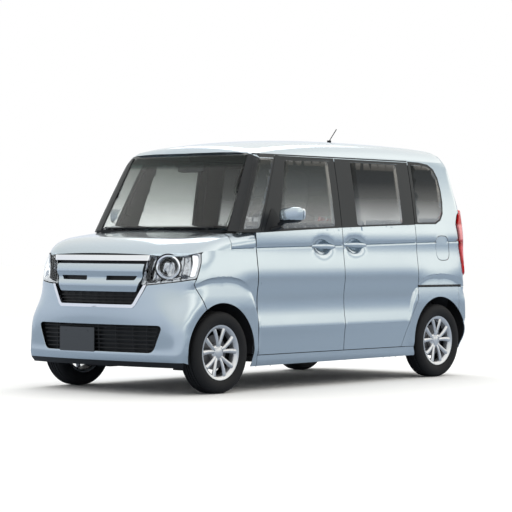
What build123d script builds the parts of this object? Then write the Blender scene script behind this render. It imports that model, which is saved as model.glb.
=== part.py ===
"""A kei-class tall wagon: body panels, doors, lids, lamps, glass, seats, running gear and wheels.

Frame, in millimetres: +X to the nose, +Y to the car's left, +Z up. The origin is on the ground,
midway along the car and on its centre plane. Each sub-part is one solid, written to its own file.
"""
from build123d import *
from math import cos, hypot, radians, sin
import os

# ------------------------------------------------------------------ overall sizes
NOSE_X = 1697.5  # foremost point of the bumper
TAIL_X = -1697.5  # rearmost point of the bumper
HALF_WIDTH = 737.5  # widest point of the body side
ROOF_Z = 1790.0  # top of the roof
SILL_Z = 170.0  # underside of the sills
FRONT_AXLE_X = 1202.5
REAR_AXLE_X = -1317.5
HALF_TRACK = 652.5  # centre plane to the middle of a tyre
TYRE_R = 278.5
TYRE_WIDTH = 155.0
RIM_R = 178.0  # bead seat of the rim

# ------------------------------------------------------------------ walls and gaps
WALL = 60.0  # doors, pillars and quarter panels
NOSE_WALL = 28.0  # hood and front fenders
BUMPER_WALL = 40.0
PANEL_GAP = 6.0  # between a moving panel and its frame
SEAM = 0.3  # between pieces that are fixed together
GLASS_INSET = 8.0  # outer skin to the outside of a pane
GLASS = 5.0  # thickness of a pane

# ------------------------------------------------------------------ body lines, side view
BELT_Z = 1103.0  # windscreen base and lower edge of the side glass, at the front door
SHOULDER_Z = 978.0  # lower edge of the hood's side
HOOD_FRONT_Z = 950.0
HOOD_REAR_X = 1090.0
DOOR_FRONT_X = 829.0
DOOR_SPLIT_X = -140.0
DOOR_REAR_X = -1040.0
DOOR_BOTTOM_Z = 250.0
DOOR_TOP_Z = 1638.0
SIDE_ROOF_Z = 1690.0  # seam between the body side and the roof panel
SCREEN_TOP_Z = 1655.0
RAKE = 0.549  # how far the windscreen falls back for each millimetre of height
TAILGATE_HALF = 575.0  # half width of the tailgate's opening
TAILGATE_FRONT_X = -1545.0  # seam between roof and tailgate
TAIL_WALL_X = -1590.0  # where the body side ends and the tail lamps begin
REAR_BUMPER_TOP_Z = 690.0
REAR_HEADER_X = -1440.0
FRONT_BUMPER_REAR_X = 1440.0
LAMP_LOW_Z = 737.0
LAMP_DEPTH = 120.0
RADIATOR_X = 1565.0  # front face of the radiator support
ARCH_R = 333.0
ARCH_Z = 285.0
HOUSE_R = 362.0  # inside of the wheel housing
HOUSE_WALL = 8.0
HOUSE_INNER_Y = 395.0  # inboard wall of the front wheel housing

EPS = 1.0
CLEAR = 10.0  # how far a cutting prism runs past what it cuts


# ------------------------------------------------------------------ helpers
def write(piece, name):
    """Label one finished sub-part and write it to its own file."""
    piece.label = name
    export_step(piece, f"parts/{name}.step")


def write_pair(piece, name):
    """Write a left-hand piece, and its mirror image as the right-hand one."""
    write(piece, f"{name}_left")
    write(piece.mirror(Plane.XZ), f"{name}_right")


def write_both(piece, name):
    """Write a left-hand piece and its mirror image as one sub-part of separate solids."""
    with BuildPart() as both:
        add(piece)
        add(piece.mirror(Plane.XZ))
    write(both.part, name)


def block(low, high):
    """A box between two opposite corners."""
    with BuildPart(Plane(tuple(low))) as box:
        Box(*(h - l for l, h in zip(low, high)), align=(Align.MIN, Align.MIN, Align.MIN))
    return box.part


def side_prism(corners, round_r=0.0, grow=0.0, y_from=0.0, y_to=900.0):
    """A prism across the left half of the car with the given outline (x, z) in side view."""
    with BuildPart() as prism:
        with BuildSketch(Plane.XZ.offset(-y_to)):
            with BuildLine():
                Polyline(*corners, close=True)
            make_face()
            if round_r:
                fillet(vertices(), round_r)
            if grow:
                offset(amount=grow, kind=Kind.INTERSECTION)
        extrude(amount=y_to - y_from)
    return prism.part


def front_prism(corners, x_from, x_to, round_r=0.0, grow=0.0):
    """A prism along the car with the given outline (y, z) in front view."""
    with BuildPart() as prism:
        with BuildSketch(Plane.YZ.offset(x_from)):
            with BuildLine():
                Polyline(*corners, close=True)
            make_face()
            if round_r:
                fillet(vertices(), round_r)
            if grow:
                offset(amount=grow, kind=Kind.INTERSECTION)
        extrude(amount=x_to - x_from)
    return prism.part


def rod(start, end, radius):
    """A round bar between two points."""
    span = Vector(*end) - Vector(*start)
    with BuildPart(Plane(start, z_dir=span.normalized())) as bar:
        Cylinder(radius, span.length, align=(Align.CENTER, Align.CENTER, Align.MIN))
    return bar.part


# ------------------------------------------------------------------ outer form
def drawn_in(inset, signs):
    """A function that moves a profile's point inward by inset, each way along the two signs."""
    return lambda a, b: (a - signs[0] * inset, b - signs[1] * inset)


def cabin_solid(inset):
    """The cabin's outer form from the sills up, drawn in at the sides, ends and roof by inset."""
    base = SILL_Z - (EPS if inset else 0)
    half = HALF_WIDTH - inset
    at = drawn_in(inset, (1, 1))
    with BuildPart() as cabin:
        with BuildSketch(Plane.YZ.offset(TAIL_X - CLEAR)):
            with BuildLine():
                low = Polyline((0, 100), at(649, 100), at(HALF_WIDTH, 300), (half, 760))
                side = ThreePointArc(low @ 1, at(730, 940), at(706, BELT_Z))
                glass = ThreePointArc(side @ 1, at(667, 1375), at(620, 1640))
                edge = ThreePointArc(glass @ 1, at(595, 1702), at(530, 1737))
                ThreePointArc(edge @ 1, at(270, 1779), (0, ROOF_Z + 3 - inset))
                mirror(about=Plane.YZ)
            make_face()
        extrude(amount=NOSE_X - TAIL_X + CLEAR)
        tail_at = drawn_in(inset, (-1, 1))
        with BuildSketch(Plane.XZ):
            with BuildLine():
                rear = Polyline((NOSE_X, base), tail_at(-1640, 0)[:1] + (base,),
                                tail_at(-1662, 236 + inset),
                                tail_at(TAIL_X, 420), tail_at(TAIL_X, REAR_BUMPER_TOP_Z),
                                tail_at(-1690, 760), tail_at(-1682, 1100))
                gate = ThreePointArc(rear @ 1, tail_at(-1662, 1400), tail_at(-1612, 1660))
                spoiler = ThreePointArc(gate @ 1, tail_at(-1575, 1735), tail_at(-1480, 1768))
                back = ThreePointArc(spoiler @ 1, tail_at(-1150, 1786), tail_at(-800, ROOF_Z))
                roof = ThreePointArc(back @ 1, tail_at(0, 1777), (780, 1700 - inset))
                Polyline(roof @ 1, (NOSE_X, 1700 - inset), (NOSE_X, base))
            make_face()
        extrude(amount=HALF_WIDTH + 3 * CLEAR, both=True, mode=Mode.INTERSECT)
        reach = ROOF_Z + EPS - BELT_Z
        with BuildSketch(Plane.XY.offset(BELT_Z)):
            Rectangle(2 * (NOSE_X - TAIL_X), 4 * HALF_WIDTH)
            with BuildLine():
                screen = ThreePointArc(at(1085, inset), at(1068, 320), at(1014, 635))
                corner = ThreePointArc(screen @ 1, at(992, 656), at(950, 668))
                Polyline(corner @ 1, at(600, 705), at(300, HALF_WIDTH + EPS), at(-2900, HALF_WIDTH + EPS),
                         at(-2900, inset))
                mirror(about=Plane.XZ)
            make_face(mode=Mode.SUBTRACT)
        extrude(amount=hypot(reach, RAKE * reach), dir=(-RAKE, 0, 1), mode=Mode.SUBTRACT)
        with BuildSketch(Plane.XY.offset(base - CLEAR)):
            with BuildLine():
                tail = ThreePointArc((TAIL_X - 4 + inset, 0), tail_at(-1692, 300), tail_at(-1662, 560))
                turn = ThreePointArc(tail @ 1, tail_at(-1633, 680), tail_at(-1500, HALF_WIDTH + CLEAR))
                Polyline(turn @ 1, (NOSE_X + CLEAR, half + CLEAR), (NOSE_X + CLEAR, 0))
                mirror(about=Plane.XZ)
            make_face()
        extrude(amount=ROOF_Z + 2 * CLEAR, mode=Mode.INTERSECT)
    return cabin.part


def nose_solid(inset, upper=False):
    """The form ahead of the doors, drawn in by inset: the bumper's, or the lamps' and hood's if upper."""
    slope = -0.12
    back = DOOR_FRONT_X - 60 - (EPS if inset else 0)
    reach = NOSE_X - back + CLEAR
    rise = slope * (back - HOOD_REAR_X)
    base = SILL_Z - (EPS if inset else 0)
    half = HALF_WIDTH - inset
    at = drawn_in(inset, (1, 1))
    with BuildPart() as nose:
        with BuildSketch(Plane((back, 0, rise), x_dir=(0, 1, 0), z_dir=(1, 0, 0))):
            with BuildLine():
                Polyline((0, 0), (half, 0), (half, 760), at(722, 1000), at(702, 1062), at(646, 1094),
                         at(320, 1107), (0, 1112 - inset))
                mirror(about=Plane.YZ)
            make_face()
        extrude(amount=hypot(reach, slope * reach), dir=(1, 0, slope))
        with BuildSketch(Plane.XZ):
            with BuildLine():
                front = Polyline((0, base), at(1600, 0)[:1] + (base,), at(1650, 190 + inset), at(1688, 300),
                                 at(NOSE_X, 430), at(NOSE_X, 600), at(1690, 700), at(1676, 860),
                                 at(1655, HOOD_FRONT_Z))
                brow = ThreePointArc(front @ 1, at(1614, 1003), at(1500, 1066))
                Polyline(brow @ 1, at(1380, 1110), at(1250, 1200), (0, 1200 - inset), (0, base))
            make_face()
        extrude(amount=HALF_WIDTH + 3 * CLEAR, both=True, mode=Mode.INTERSECT)
        with BuildSketch(Plane.XY.offset(base - CLEAR)):
            with BuildLine():
                if upper:
                    face = ThreePointArc((NOSE_X - 5 - inset, 0), at(1674, 250), at(1630, 450))
                    turn = ThreePointArc(face @ 1, at(1535, 625), at(1370, 716))
                    Polyline(turn @ 1, at(1230, HALF_WIDTH + CLEAR), (0, half + CLEAR), (0, 0))
                else:
                    face = ThreePointArc((NOSE_X + 4 - inset, 0), at(1684, 300), at(1640, 560))
                    turn = ThreePointArc(face @ 1, at(1603, 670), at(1480, HALF_WIDTH + CLEAR))
                    Polyline(turn @ 1, (0, half + CLEAR), (0, 0))
                mirror(about=Plane.XZ)
            make_face()
        extrude(amount=ROOF_Z, mode=Mode.INTERSECT)
    return nose.part


# ------------------------------------------------------------------ outlines in side view
FRONT_DOOR = [(DOOR_FRONT_X, DOOR_BOTTOM_Z), (DOOR_FRONT_X, 1088), (770, 1118), (520, DOOR_TOP_Z),
              (DOOR_SPLIT_X, DOOR_TOP_Z), (DOOR_SPLIT_X, DOOR_BOTTOM_Z)]
REAR_DOOR = [(DOOR_SPLIT_X - PANEL_GAP, DOOR_BOTTOM_Z), (DOOR_SPLIT_X - PANEL_GAP, DOOR_TOP_Z),
             (DOOR_REAR_X, DOOR_TOP_Z), (DOOR_REAR_X, 600), (-935, 455), (-835, DOOR_BOTTOM_Z)]
FRONT_WINDOW = [(572, 1122), (DOOR_SPLIT_X + 79, 1133), (DOOR_SPLIT_X + 79, 1610), (428, 1605)]
REAR_WINDOW = [(-327, 1141), (-885, 1160), (-885, 1612), (-327, 1614)]
FRONT_QUARTER = [(962, 1122), (792, 1126), (558, 1608), (690, 1608)]
REAR_QUARTER = [(-1076, 1167), (-1330, 1173), (-1412, 1262), (-1416, 1400), (-1385, 1560), (-1310, 1612),
                (-1076, 1616)]
HOOD_SIDE = [(1720, 947), (1450, 957), (1348, 972), (HOOD_REAR_X, SHOULDER_Z), (HOOD_REAR_X, 1200),
             (1720, 1200)]
LAMP_SIDE = [(1378, 950), (1720, 950), (1720, LAMP_LOW_Z), (1449, LAMP_LOW_Z), (1449, 780)]
WINDOW_ROUND = 30.0
FUEL_LID_X = -1377.0  # middle of the fuel lid
FUEL_LID_Z = 987.0
FUEL_LID_LONG = 166.0
FUEL_LID_HIGH = 184.0
FUEL_LID_ROUND = 68.0
FUEL_LID_GAP = 7.0
FUEL_LID_THICK = 6.0
FUEL_POCKET_Y = 685.0  # bottom of the filler's recess

# outlines in front view, left half
SCREEN_BASE_HALF = 613.0
SCREEN_TOP_HALF = 543.0
SCREEN_LOW_Z = BELT_Z + 6
LAMP_FRONT = [(403, LAMP_LOW_Z), (453, 944), (760, 944), (760, LAMP_LOW_Z)]
UPPER_OPENING = [(-349, 585), (349, 585), (440, LAMP_LOW_Z + 1), (-440, LAMP_LOW_Z + 1)]
LOWER_OPENING = [(-517, 284), (517, 284), (578, 467), (-578, 467)]
GRILLE_PANEL = [(-350, 684), (350, 684), (425, 888), (-425, 888)]

# ------------------------------------------------------------------ hinges
DOOR_ROLLERS = [(-230.0, DOOR_BOTTOM_Z - PANEL_GAP + SEAM, DOOR_BOTTOM_Z + EPS),
                (-760.0, DOOR_BOTTOM_Z - PANEL_GAP + SEAM, DOOR_BOTTOM_Z + EPS)]
DOOR_AXIS_IN = 14.0  # body side to the door hinge's axis
DOOR_AXIS_BACK = 30.0  # door's front edge to the hinge's axis
DOOR_HINGE_Z = (440.0, 760.0)
DOOR_POST_Y = 630.0  # outer face of the hinge post
BARREL_R = 8.0
PIN_R = 4.5
FUEL_PIN_R = 2.5
FUEL_SKIN_Y = 723.5  # body side at the middle of the fuel lid
FUEL_LEAN = 0.13  # lean of the body side there
RUNNING = 0.05  # radial clearance of a pin in its bore
BARREL_HALF = 20.0
POCKET_HALF = 26.0
HOOD_AXIS_X = HOOD_REAR_X + 15
HOOD_AXIS_Z = 1082.0
HOOD_HINGE_Y = 540.0
GATE_AXIS_X = TAILGATE_FRONT_X - PANEL_GAP - 25
GATE_AXIS_Z = 1738.0
GATE_HINGE_Y = 420.0
MIRROR_AXIS = (620.0, 765.0)
MIRROR_FOOT_Z = 1149.0  # top of the door mirror's foot
MIRROR_PIN_R = 6.0
FUEL_RELIEF = (10.0, 16.0, 76.0)  # behind, ahead of and beside the fuel lid's pin
KINGPIN_Y = 540.0
STRUT_TOP_Z = 800.0
SPINDLE_R = 17.0

os.makedirs("parts", exist_ok=True)


def hinge_arm(pin, along, size):
    """A flat arm, the block of size, ending in a bored barrel about pin; along is the axis's letter."""
    direction = {"y": (0, 1, 0), "z": (0, 0, 1)}[along]
    low = Vector(*pin) - Vector(*direction) * BARREL_HALF
    with BuildPart() as arm:
        add(rod(tuple(low), tuple(low + Vector(*direction) * 2 * BARREL_HALF), BARREL_R))
        add(block(*size))
        add(rod(tuple(low - Vector(*direction)), tuple(low + Vector(*direction) * (2 * BARREL_HALF + 1)),
                PIN_R + RUNNING), mode=Mode.SUBTRACT)
    return arm.part


# ------------------------------------------------------------------ walls of the cabin and the nose
cabin_outer = cabin_solid(0)
cabin_wall = cabin_outer - cabin_solid(WALL)
glass_shell = cabin_solid(GLASS_INSET) - cabin_solid(GLASS_INSET + GLASS)
nose_low = nose_solid(0)
nose_high = nose_solid(0, upper=True)

SCREEN = [(SCREEN_BASE_HALF, SCREEN_LOW_Z), (SCREEN_TOP_HALF, SIDE_ROOF_Z), (-SCREEN_TOP_HALF, SIDE_ROOF_Z),
          (-SCREEN_BASE_HALF, SCREEN_LOW_Z)]
SCREEN_CUT = [(SCREEN_BASE_HALF, BELT_Z - EPS)] + SCREEN[:1] + SCREEN[1:] + [(-SCREEN_BASE_HALF,
                                                                              BELT_Z - EPS)]
left_half = block((-2000, 0, 0), (2000, 900, 2000))
door_axis = (DOOR_FRONT_X - DOOR_AXIS_BACK, HALF_WIDTH - DOOR_AXIS_IN)


def fuel_outline(grow, y_from, y_to):
    """The fuel lid's rounded outline, as a prism across the body side."""
    with BuildPart() as prism:
        with BuildSketch(Plane.XZ.offset(-y_to)):
            with Locations((FUEL_LID_X, FUEL_LID_Z)):
                RectangleRounded(FUEL_LID_LONG + 2 * grow, FUEL_LID_HIGH + 2 * grow, FUEL_LID_ROUND + grow)
        extrude(amount=y_to - y_from)
    return prism.part


# ------------------------------------------------------------------ body side
pillar_x = (DOOR_SPLIT_X - 50, DOOR_SPLIT_X + 44)
with BuildPart() as side_frame:
    add(cabin_wall & block((TAIL_X - 1, 0, 0), (1100, 900, SIDE_ROOF_Z)))
    add(block((DOOR_FRONT_X + PANEL_GAP, 0, 0), (1800, 900, BELT_Z)), mode=Mode.SUBTRACT)
    add(front_prism(SCREEN_CUT, 500, 1300), mode=Mode.SUBTRACT)
    for outline in (FRONT_DOOR, REAR_DOOR):
        add(side_prism(outline, grow=PANEL_GAP), mode=Mode.SUBTRACT)
    for outline in (FRONT_QUARTER, REAR_QUARTER):
        add(side_prism(outline, round_r=WINDOW_ROUND), mode=Mode.SUBTRACT)
    add(block((-1800, -1, 0), (TAILGATE_FRONT_X, TAILGATE_HALF + PANEL_GAP, 1900)), mode=Mode.SUBTRACT)
    add(block((TAILGATE_FRONT_X - 1, -1, 1500), (REAR_HEADER_X, TAILGATE_HALF + PANEL_GAP, 1900)),
        mode=Mode.SUBTRACT)
    add(block((-1800, 0, 755), (TAIL_WALL_X, 900, 1290)), mode=Mode.SUBTRACT)
    add(block((-1800, 0, 0), (-1600, 900, REAR_BUMPER_TOP_Z)), mode=Mode.SUBTRACT)
    add(rod((REAR_AXLE_X, 0, ARCH_Z), (REAR_AXLE_X, 900, ARCH_Z), ARCH_R), mode=Mode.SUBTRACT)
    inner = cabin_solid(WALL) - cabin_solid(WALL + 50)
    add((cabin_solid(WALL + 10) - cabin_solid(WALL + 50)) & block((pillar_x[0], 0, 200),
                                                                  (pillar_x[1], 900, SIDE_ROOF_Z)))
    add(inner & block((pillar_x[0], 0, 1652), (pillar_x[1], 900, SIDE_ROOF_Z)))
    add(inner & block((pillar_x[0], 0, 200), (pillar_x[1], 900, DOOR_BOTTOM_Z - PANEL_GAP)))
fuel_pin = Vector(FUEL_LID_X + FUEL_LID_LONG / 2 - 14, FUEL_SKIN_Y - 7, FUEL_LID_Z)
fuel_axis = Vector(0, -FUEL_LEAN, 1).normalized()


def fuel_rod(half_length, radius):
    """A bar along the fuel lid's axis."""
    return rod(tuple(fuel_pin - fuel_axis * half_length), tuple(fuel_pin + fuel_axis * half_length), radius)


with BuildPart() as side_frame_left:
    add(side_frame.part)
    add(fuel_outline(FUEL_LID_GAP, FUEL_POCKET_Y, 900), mode=Mode.SUBTRACT)
    back, ahead, beside = FUEL_RELIEF
    add(block((fuel_pin.X - back, FUEL_POCKET_Y, FUEL_LID_Z - beside),
              (fuel_pin.X + ahead, 900, FUEL_LID_Z + beside)),
        mode=Mode.SUBTRACT)
    add(block((fuel_pin.X - 3, FUEL_POCKET_Y - 1, FUEL_LID_Z - 5),
              (fuel_pin.X + 3, fuel_pin.Y, FUEL_LID_Z + 5)))
    add(fuel_rod(5, 4.5))
    add(fuel_rod(7, FUEL_PIN_R + RUNNING), mode=Mode.SUBTRACT)
write(side_frame_left.part, "side_frame_left")
write(side_frame.part.mirror(Plane.XZ), "side_frame_right")

with BuildPart() as fuel_lid:
    add((cabin_outer & fuel_outline(0, 660, 900)) - cabin_solid(FUEL_LID_THICK))
    for end in (-1, 1):
        z = FUEL_LID_Z + end * 11
        add(block((fuel_pin.X - 4, fuel_pin.Y - 5, z - 4), (fuel_pin.X + 4, FUEL_SKIN_Y - 3, z + 4)))
    add(fuel_rod(15, FUEL_PIN_R))
write(fuel_lid.part, "fuel_lid")

with BuildPart() as roof:
    add(cabin_wall & block((TAIL_X - 1, -900, SIDE_ROOF_Z), (1100, 900, 1800)))
    add(cabin_wall & front_prism([(-SCREEN_TOP_HALF, SCREEN_TOP_Z + SEAM),
                                  (SCREEN_TOP_HALF, SCREEN_TOP_Z + SEAM),
                                  (SCREEN_TOP_HALF, SIDE_ROOF_Z), (-SCREEN_TOP_HALF, SIDE_ROOF_Z)], 500,
                                 1300))
    add(cabin_wall & block((TAILGATE_FRONT_X, -TAILGATE_HALF - PANEL_GAP, 1600),
                           (REAR_HEADER_X, TAILGATE_HALF + PANEL_GAP, SIDE_ROOF_Z)))
    add(block((-1800, -TAILGATE_HALF - PANEL_GAP, 0), (TAILGATE_FRONT_X, TAILGATE_HALF + PANEL_GAP, 1900)),
        mode=Mode.SUBTRACT)
    for side in (-1, 1):
        y = side * GATE_HINGE_Y
        low = (GATE_AXIS_X, y - BARREL_HALF, GATE_AXIS_Z)
        high = (GATE_AXIS_X, y + BARREL_HALF, GATE_AXIS_Z)
        add(rod(low, high, BARREL_R))
        add(block((GATE_AXIS_X - 5, y - BARREL_HALF, 1672),
                  (GATE_AXIS_X + 5, y + BARREL_HALF, GATE_AXIS_Z)))
        add(block((GATE_AXIS_X - 5, y - BARREL_HALF, 1662), (TAILGATE_FRONT_X + 30, y + BARREL_HALF, 1674)))
        add(block((TAILGATE_FRONT_X + 20, y - BARREL_HALF, 1662),
                  (TAILGATE_FRONT_X + 30, y + BARREL_HALF, 1712)))
        add(rod((low[0], low[1] - 1, low[2]), (high[0], high[1] + 1, high[2]), PIN_R + RUNNING),
            mode=Mode.SUBTRACT)
write(roof.part, "roof")

# ------------------------------------------------------------------ doors and their glass
with BuildPart() as front_door:
    add(cabin_wall & side_prism(FRONT_DOOR, y_from=300))
    add(side_prism(FRONT_WINDOW, round_r=WINDOW_ROUND), mode=Mode.SUBTRACT)
    x, y = door_axis
    for z in DOOR_HINGE_Z:
        add(block((x - 12, 600, z - POCKET_HALF), (DOOR_FRONT_X + 1, y + 9.5, z + POCKET_HALF)),
            mode=Mode.SUBTRACT)
        add(rod((x, y, z - POCKET_HALF - 1), (x, y, z + POCKET_HALF + 1), PIN_R))
    add(block((590, 660, 1104), (650, 790, MIRROR_FOOT_Z - SEAM)) - cabin_outer)
    add(rod((*MIRROR_AXIS, MIRROR_FOOT_Z - 1), (*MIRROR_AXIS, MIRROR_FOOT_Z + 15), MIRROR_PIN_R))
write_pair(front_door.part, "front_door")
with BuildPart() as front_door_glass:
    add(glass_shell & side_prism(FRONT_WINDOW, round_r=WINDOW_ROUND, grow=-SEAM, y_from=300))
write_pair(front_door_glass.part, "front_door_glass")

with BuildPart() as sliding_door:
    add(cabin_wall & side_prism(REAR_DOOR, y_from=300))
    add(side_prism(REAR_WINDOW, round_r=WINDOW_ROUND), mode=Mode.SUBTRACT)
    for x, low_z, high_z in DOOR_ROLLERS:
        add((cabin_solid(20) - cabin_solid(40)) & block((x - 15, 300, low_z), (x + 15, 900, high_z)))
write_both(sliding_door.part, "sliding_doors")
with BuildPart() as side_glass:
    for outline in (FRONT_QUARTER, REAR_WINDOW, REAR_QUARTER):
        add(glass_shell & side_prism(outline, round_r=WINDOW_ROUND, grow=-SEAM, y_from=300))
write_both(side_glass.part, "side_glass")

with BuildPart() as windscreen:
    add(glass_shell & front_prism([(-SCREEN_BASE_HALF + SEAM, SCREEN_LOW_Z),
                                   (SCREEN_BASE_HALF - SEAM, SCREEN_LOW_Z),
                                   (SCREEN_TOP_HALF - SEAM, SCREEN_TOP_Z),
                                   (-SCREEN_TOP_HALF + SEAM, SCREEN_TOP_Z)],
                                  500, 1300))
    add(block((-400, -900, 0), (500, 900, 1900)), mode=Mode.SUBTRACT)
write(windscreen.part, "windscreen")

# ------------------------------------------------------------------ tailgate
GATE_WINDOW = [(-490, 1150), (490, 1150), (455, 1560), (-455, 1560)]
with BuildPart() as tailgate:
    add(cabin_wall & block((TAIL_X - 1, -TAILGATE_HALF, REAR_BUMPER_TOP_Z + PANEL_GAP),
                           (TAILGATE_FRONT_X - PANEL_GAP, TAILGATE_HALF, 1800)))
    add(front_prism(GATE_WINDOW, TAIL_X - 1, -1500, round_r=40), mode=Mode.SUBTRACT)
    for side in (-1, 1):
        y = side * GATE_HINGE_Y
        add(block((GATE_AXIS_X - 40, y - POCKET_HALF, 1600),
                  (GATE_AXIS_X + 40, y + POCKET_HALF, GATE_AXIS_Z + 9.5)),
            mode=Mode.SUBTRACT)
        add(rod((GATE_AXIS_X, y - POCKET_HALF - 1, GATE_AXIS_Z),
                (GATE_AXIS_X, y + POCKET_HALF + 1, GATE_AXIS_Z),
                PIN_R))
write(tailgate.part, "tailgate")
with BuildPart() as tailgate_glass:
    add(glass_shell & front_prism(GATE_WINDOW, TAIL_X - 1, -1500, round_r=40, grow=-SEAM))
write(tailgate_glass.part, "tailgate_glass")

# ------------------------------------------------------------------ rear corner pieces
with BuildPart() as rear_bumper:
    add(cabin_wall & block((TAIL_X - 1, -900, 0), (-1600 - SEAM, 900, REAR_BUMPER_TOP_Z - SEAM)))
write(rear_bumper.part, "rear_bumper")
with BuildPart() as tail_lamp:
    add(cabin_wall & block((TAIL_X - 1, TAILGATE_HALF + PANEL_GAP, 755 + SEAM),
                           (TAIL_WALL_X - SEAM, 900, 1290 - SEAM)))
write_both(tail_lamp.part, "tail_lamps")

# ------------------------------------------------------------------ nose panels
hood_prism = side_prism(HOOD_SIDE, y_from=-900)
lamp_prism = side_prism(LAMP_SIDE) & front_prism(LAMP_FRONT, 1300, 1800)
with BuildPart() as hood:
    add((nose_high & hood_prism) - nose_solid(NOSE_WALL, upper=True))
    for side in (-1, 1):
        y = side * HOOD_HINGE_Y
        add(block((HOOD_REAR_X - 1, y - POCKET_HALF, 1000),
                  (HOOD_AXIS_X + 12, y + POCKET_HALF, HOOD_AXIS_Z + 9.5)),
            mode=Mode.SUBTRACT)
        add(rod((HOOD_AXIS_X, y - POCKET_HALF - 1, HOOD_AXIS_Z),
                (HOOD_AXIS_X, y + POCKET_HALF + 1, HOOD_AXIS_Z),
                PIN_R))
write(hood.part, "hood")

fender_x = (DOOR_FRONT_X + PANEL_GAP, FRONT_BUMPER_REAR_X - SEAM)
with BuildPart() as fender:
    add((nose_low & block((fender_x[0], 0, 0), (fender_x[1], 900, LAMP_LOW_Z))) - nose_solid(NOSE_WALL))
    add((nose_high & block((fender_x[0], 0, LAMP_LOW_Z), (fender_x[1], 900, BELT_Z - 3))) -
        nose_solid(NOSE_WALL, upper=True))
    add(side_prism(HOOD_SIDE, grow=PANEL_GAP), mode=Mode.SUBTRACT)
    add(block((800, -1, SHOULDER_Z), (HOOD_REAR_X, 600, 1200)), mode=Mode.SUBTRACT)
    add(side_prism(LAMP_SIDE, grow=SEAM), mode=Mode.SUBTRACT)
    add(rod((FRONT_AXLE_X, 0, ARCH_Z), (FRONT_AXLE_X, 900, ARCH_Z), ARCH_R), mode=Mode.SUBTRACT)
write_both(fender.part, "fenders")

with BuildPart() as headlamp:
    add((nose_solid(EPS, upper=True) & lamp_prism) - nose_solid(LAMP_DEPTH, upper=True))
write_both(headlamp.part, "headlamps")

with BuildPart() as front_bumper:
    add((nose_low & block((FRONT_BUMPER_REAR_X, -900, 0),
                          (1800, 900, LAMP_LOW_Z - SEAM))) - nose_solid(BUMPER_WALL))
    add(front_prism(UPPER_OPENING, 1300, 1800), mode=Mode.SUBTRACT)
    add(front_prism(LOWER_OPENING, 1300, 1800, round_r=35), mode=Mode.SUBTRACT)
    for side in (-1, 1):
        add(rod((FRONT_AXLE_X, 500 * side, ARCH_Z), (FRONT_AXLE_X, 900 * side, ARCH_Z), ARCH_R),
            mode=Mode.SUBTRACT)
write(front_bumper.part, "front_bumper")

with BuildPart() as lower_grille:
    add((nose_solid(22) & front_prism(LOWER_OPENING, 1300, 1800, round_r=35,
                                      grow=-SEAM)) - nose_solid(BUMPER_WALL))
    for row in range(6):
        z = 302 + 27 * row
        for low_y, high_y in ((-480, -8), (8, 480)):
            add(block((1500, low_y, z), (1800, high_y, z + 15)) - nose_solid(BUMPER_WALL - 8),
                mode=Mode.SUBTRACT)
with BuildPart() as grilles:
    add(lower_grille.part)
    for side in (-1, 1):
        low_y, high_y = sorted((365 * side, 390 * side))
        add(block((RADIATOR_X + SEAM, low_y, 840), (1620, high_y, 870)) & nose_solid(BUMPER_WALL + SEAM,
                                                                                     upper=True))
    add((nose_solid(BUMPER_WALL + SEAM, upper=True) &
         front_prism([(-335, 588), (335, 588), (390, 735), (440, 942), (-440, 942), (-390, 735)], 1300,
                     1800)) -
        nose_solid(BUMPER_WALL + 12, upper=True))
write(grilles.part, "grilles")

with BuildPart() as grille_panel:
    add((nose_solid(5, upper=True) & front_prism(GRILLE_PANEL, 1300, 1800)) - nose_solid(BUMPER_WALL,
                                                                                         upper=True))
    for side in (-1, 1):
        slot = [(side * 100, 767), (side * 325, 767), (side * 345, 794), (side * 100, 794)]
        add(front_prism(slot, 1300, 1800), mode=Mode.SUBTRACT)
write(grille_panel.part, "grille_panel")

BAR = [(-400, 899), (400, 899), (400, 937), (-400, 937)]
TRIM = [(-349, 585 + SEAM), (349, 585 + SEAM), (424, 712), (405, 712), (337, 600), (-337, 600), (-405, 712),
        (-424, 712)]
with BuildPart() as front_chrome:
    add((nose_solid(1, upper=True) & front_prism(BAR, 1300, 1800)) - nose_solid(BUMPER_WALL, upper=True))
    add((nose_solid(1) & front_prism(TRIM, 1300, 1800, grow=-SEAM)) - nose_solid(BUMPER_WALL))
write(front_chrome.part, "front_chrome")
PLATE_Y = -168.0
PLATE_HOLE_SPACING = 210.0
PLATE_HOLE_Z = 418.0
PLATE_HOLE_R = 3.3
with BuildPart() as number_plate:
    add(block((1688, PLATE_Y - 165, 278), (1692, PLATE_Y + 165, 443)))
    for side in (-1, 1):
        y = PLATE_Y + side * PLATE_HOLE_SPACING / 2
        add(block((1600, y - 15, 353), (1688, y + 15, 368)) - nose_solid(22 - SEAM))
        add(rod((1680, y, PLATE_HOLE_Z), (1700, y, PLATE_HOLE_Z), PLATE_HOLE_R), mode=Mode.SUBTRACT)
write(number_plate.part, "number_plate")

# ------------------------------------------------------------------ structure under the skin
FLOOR_Z = 240.0
REAR_FLOOR_Z = 560.0
REAR_FLOOR_X = -1160.0  # where the floor steps up over the rear axle


def housing(axle_x, inner_y, outer_y, z_low):
    """A wheel housing over one left-hand wheel, open below and outward."""
    with BuildPart() as shell:
        add(rod((axle_x, inner_y - HOUSE_WALL, ARCH_Z), (axle_x, outer_y, ARCH_Z), HOUSE_R + HOUSE_WALL))
        add(rod((axle_x, inner_y, ARCH_Z), (axle_x, outer_y + 1, ARCH_Z), HOUSE_R), mode=Mode.SUBTRACT)
        add(block((axle_x - 500, 0, -200), (axle_x + 500, 900, z_low)), mode=Mode.SUBTRACT)
    return shell.part


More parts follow.
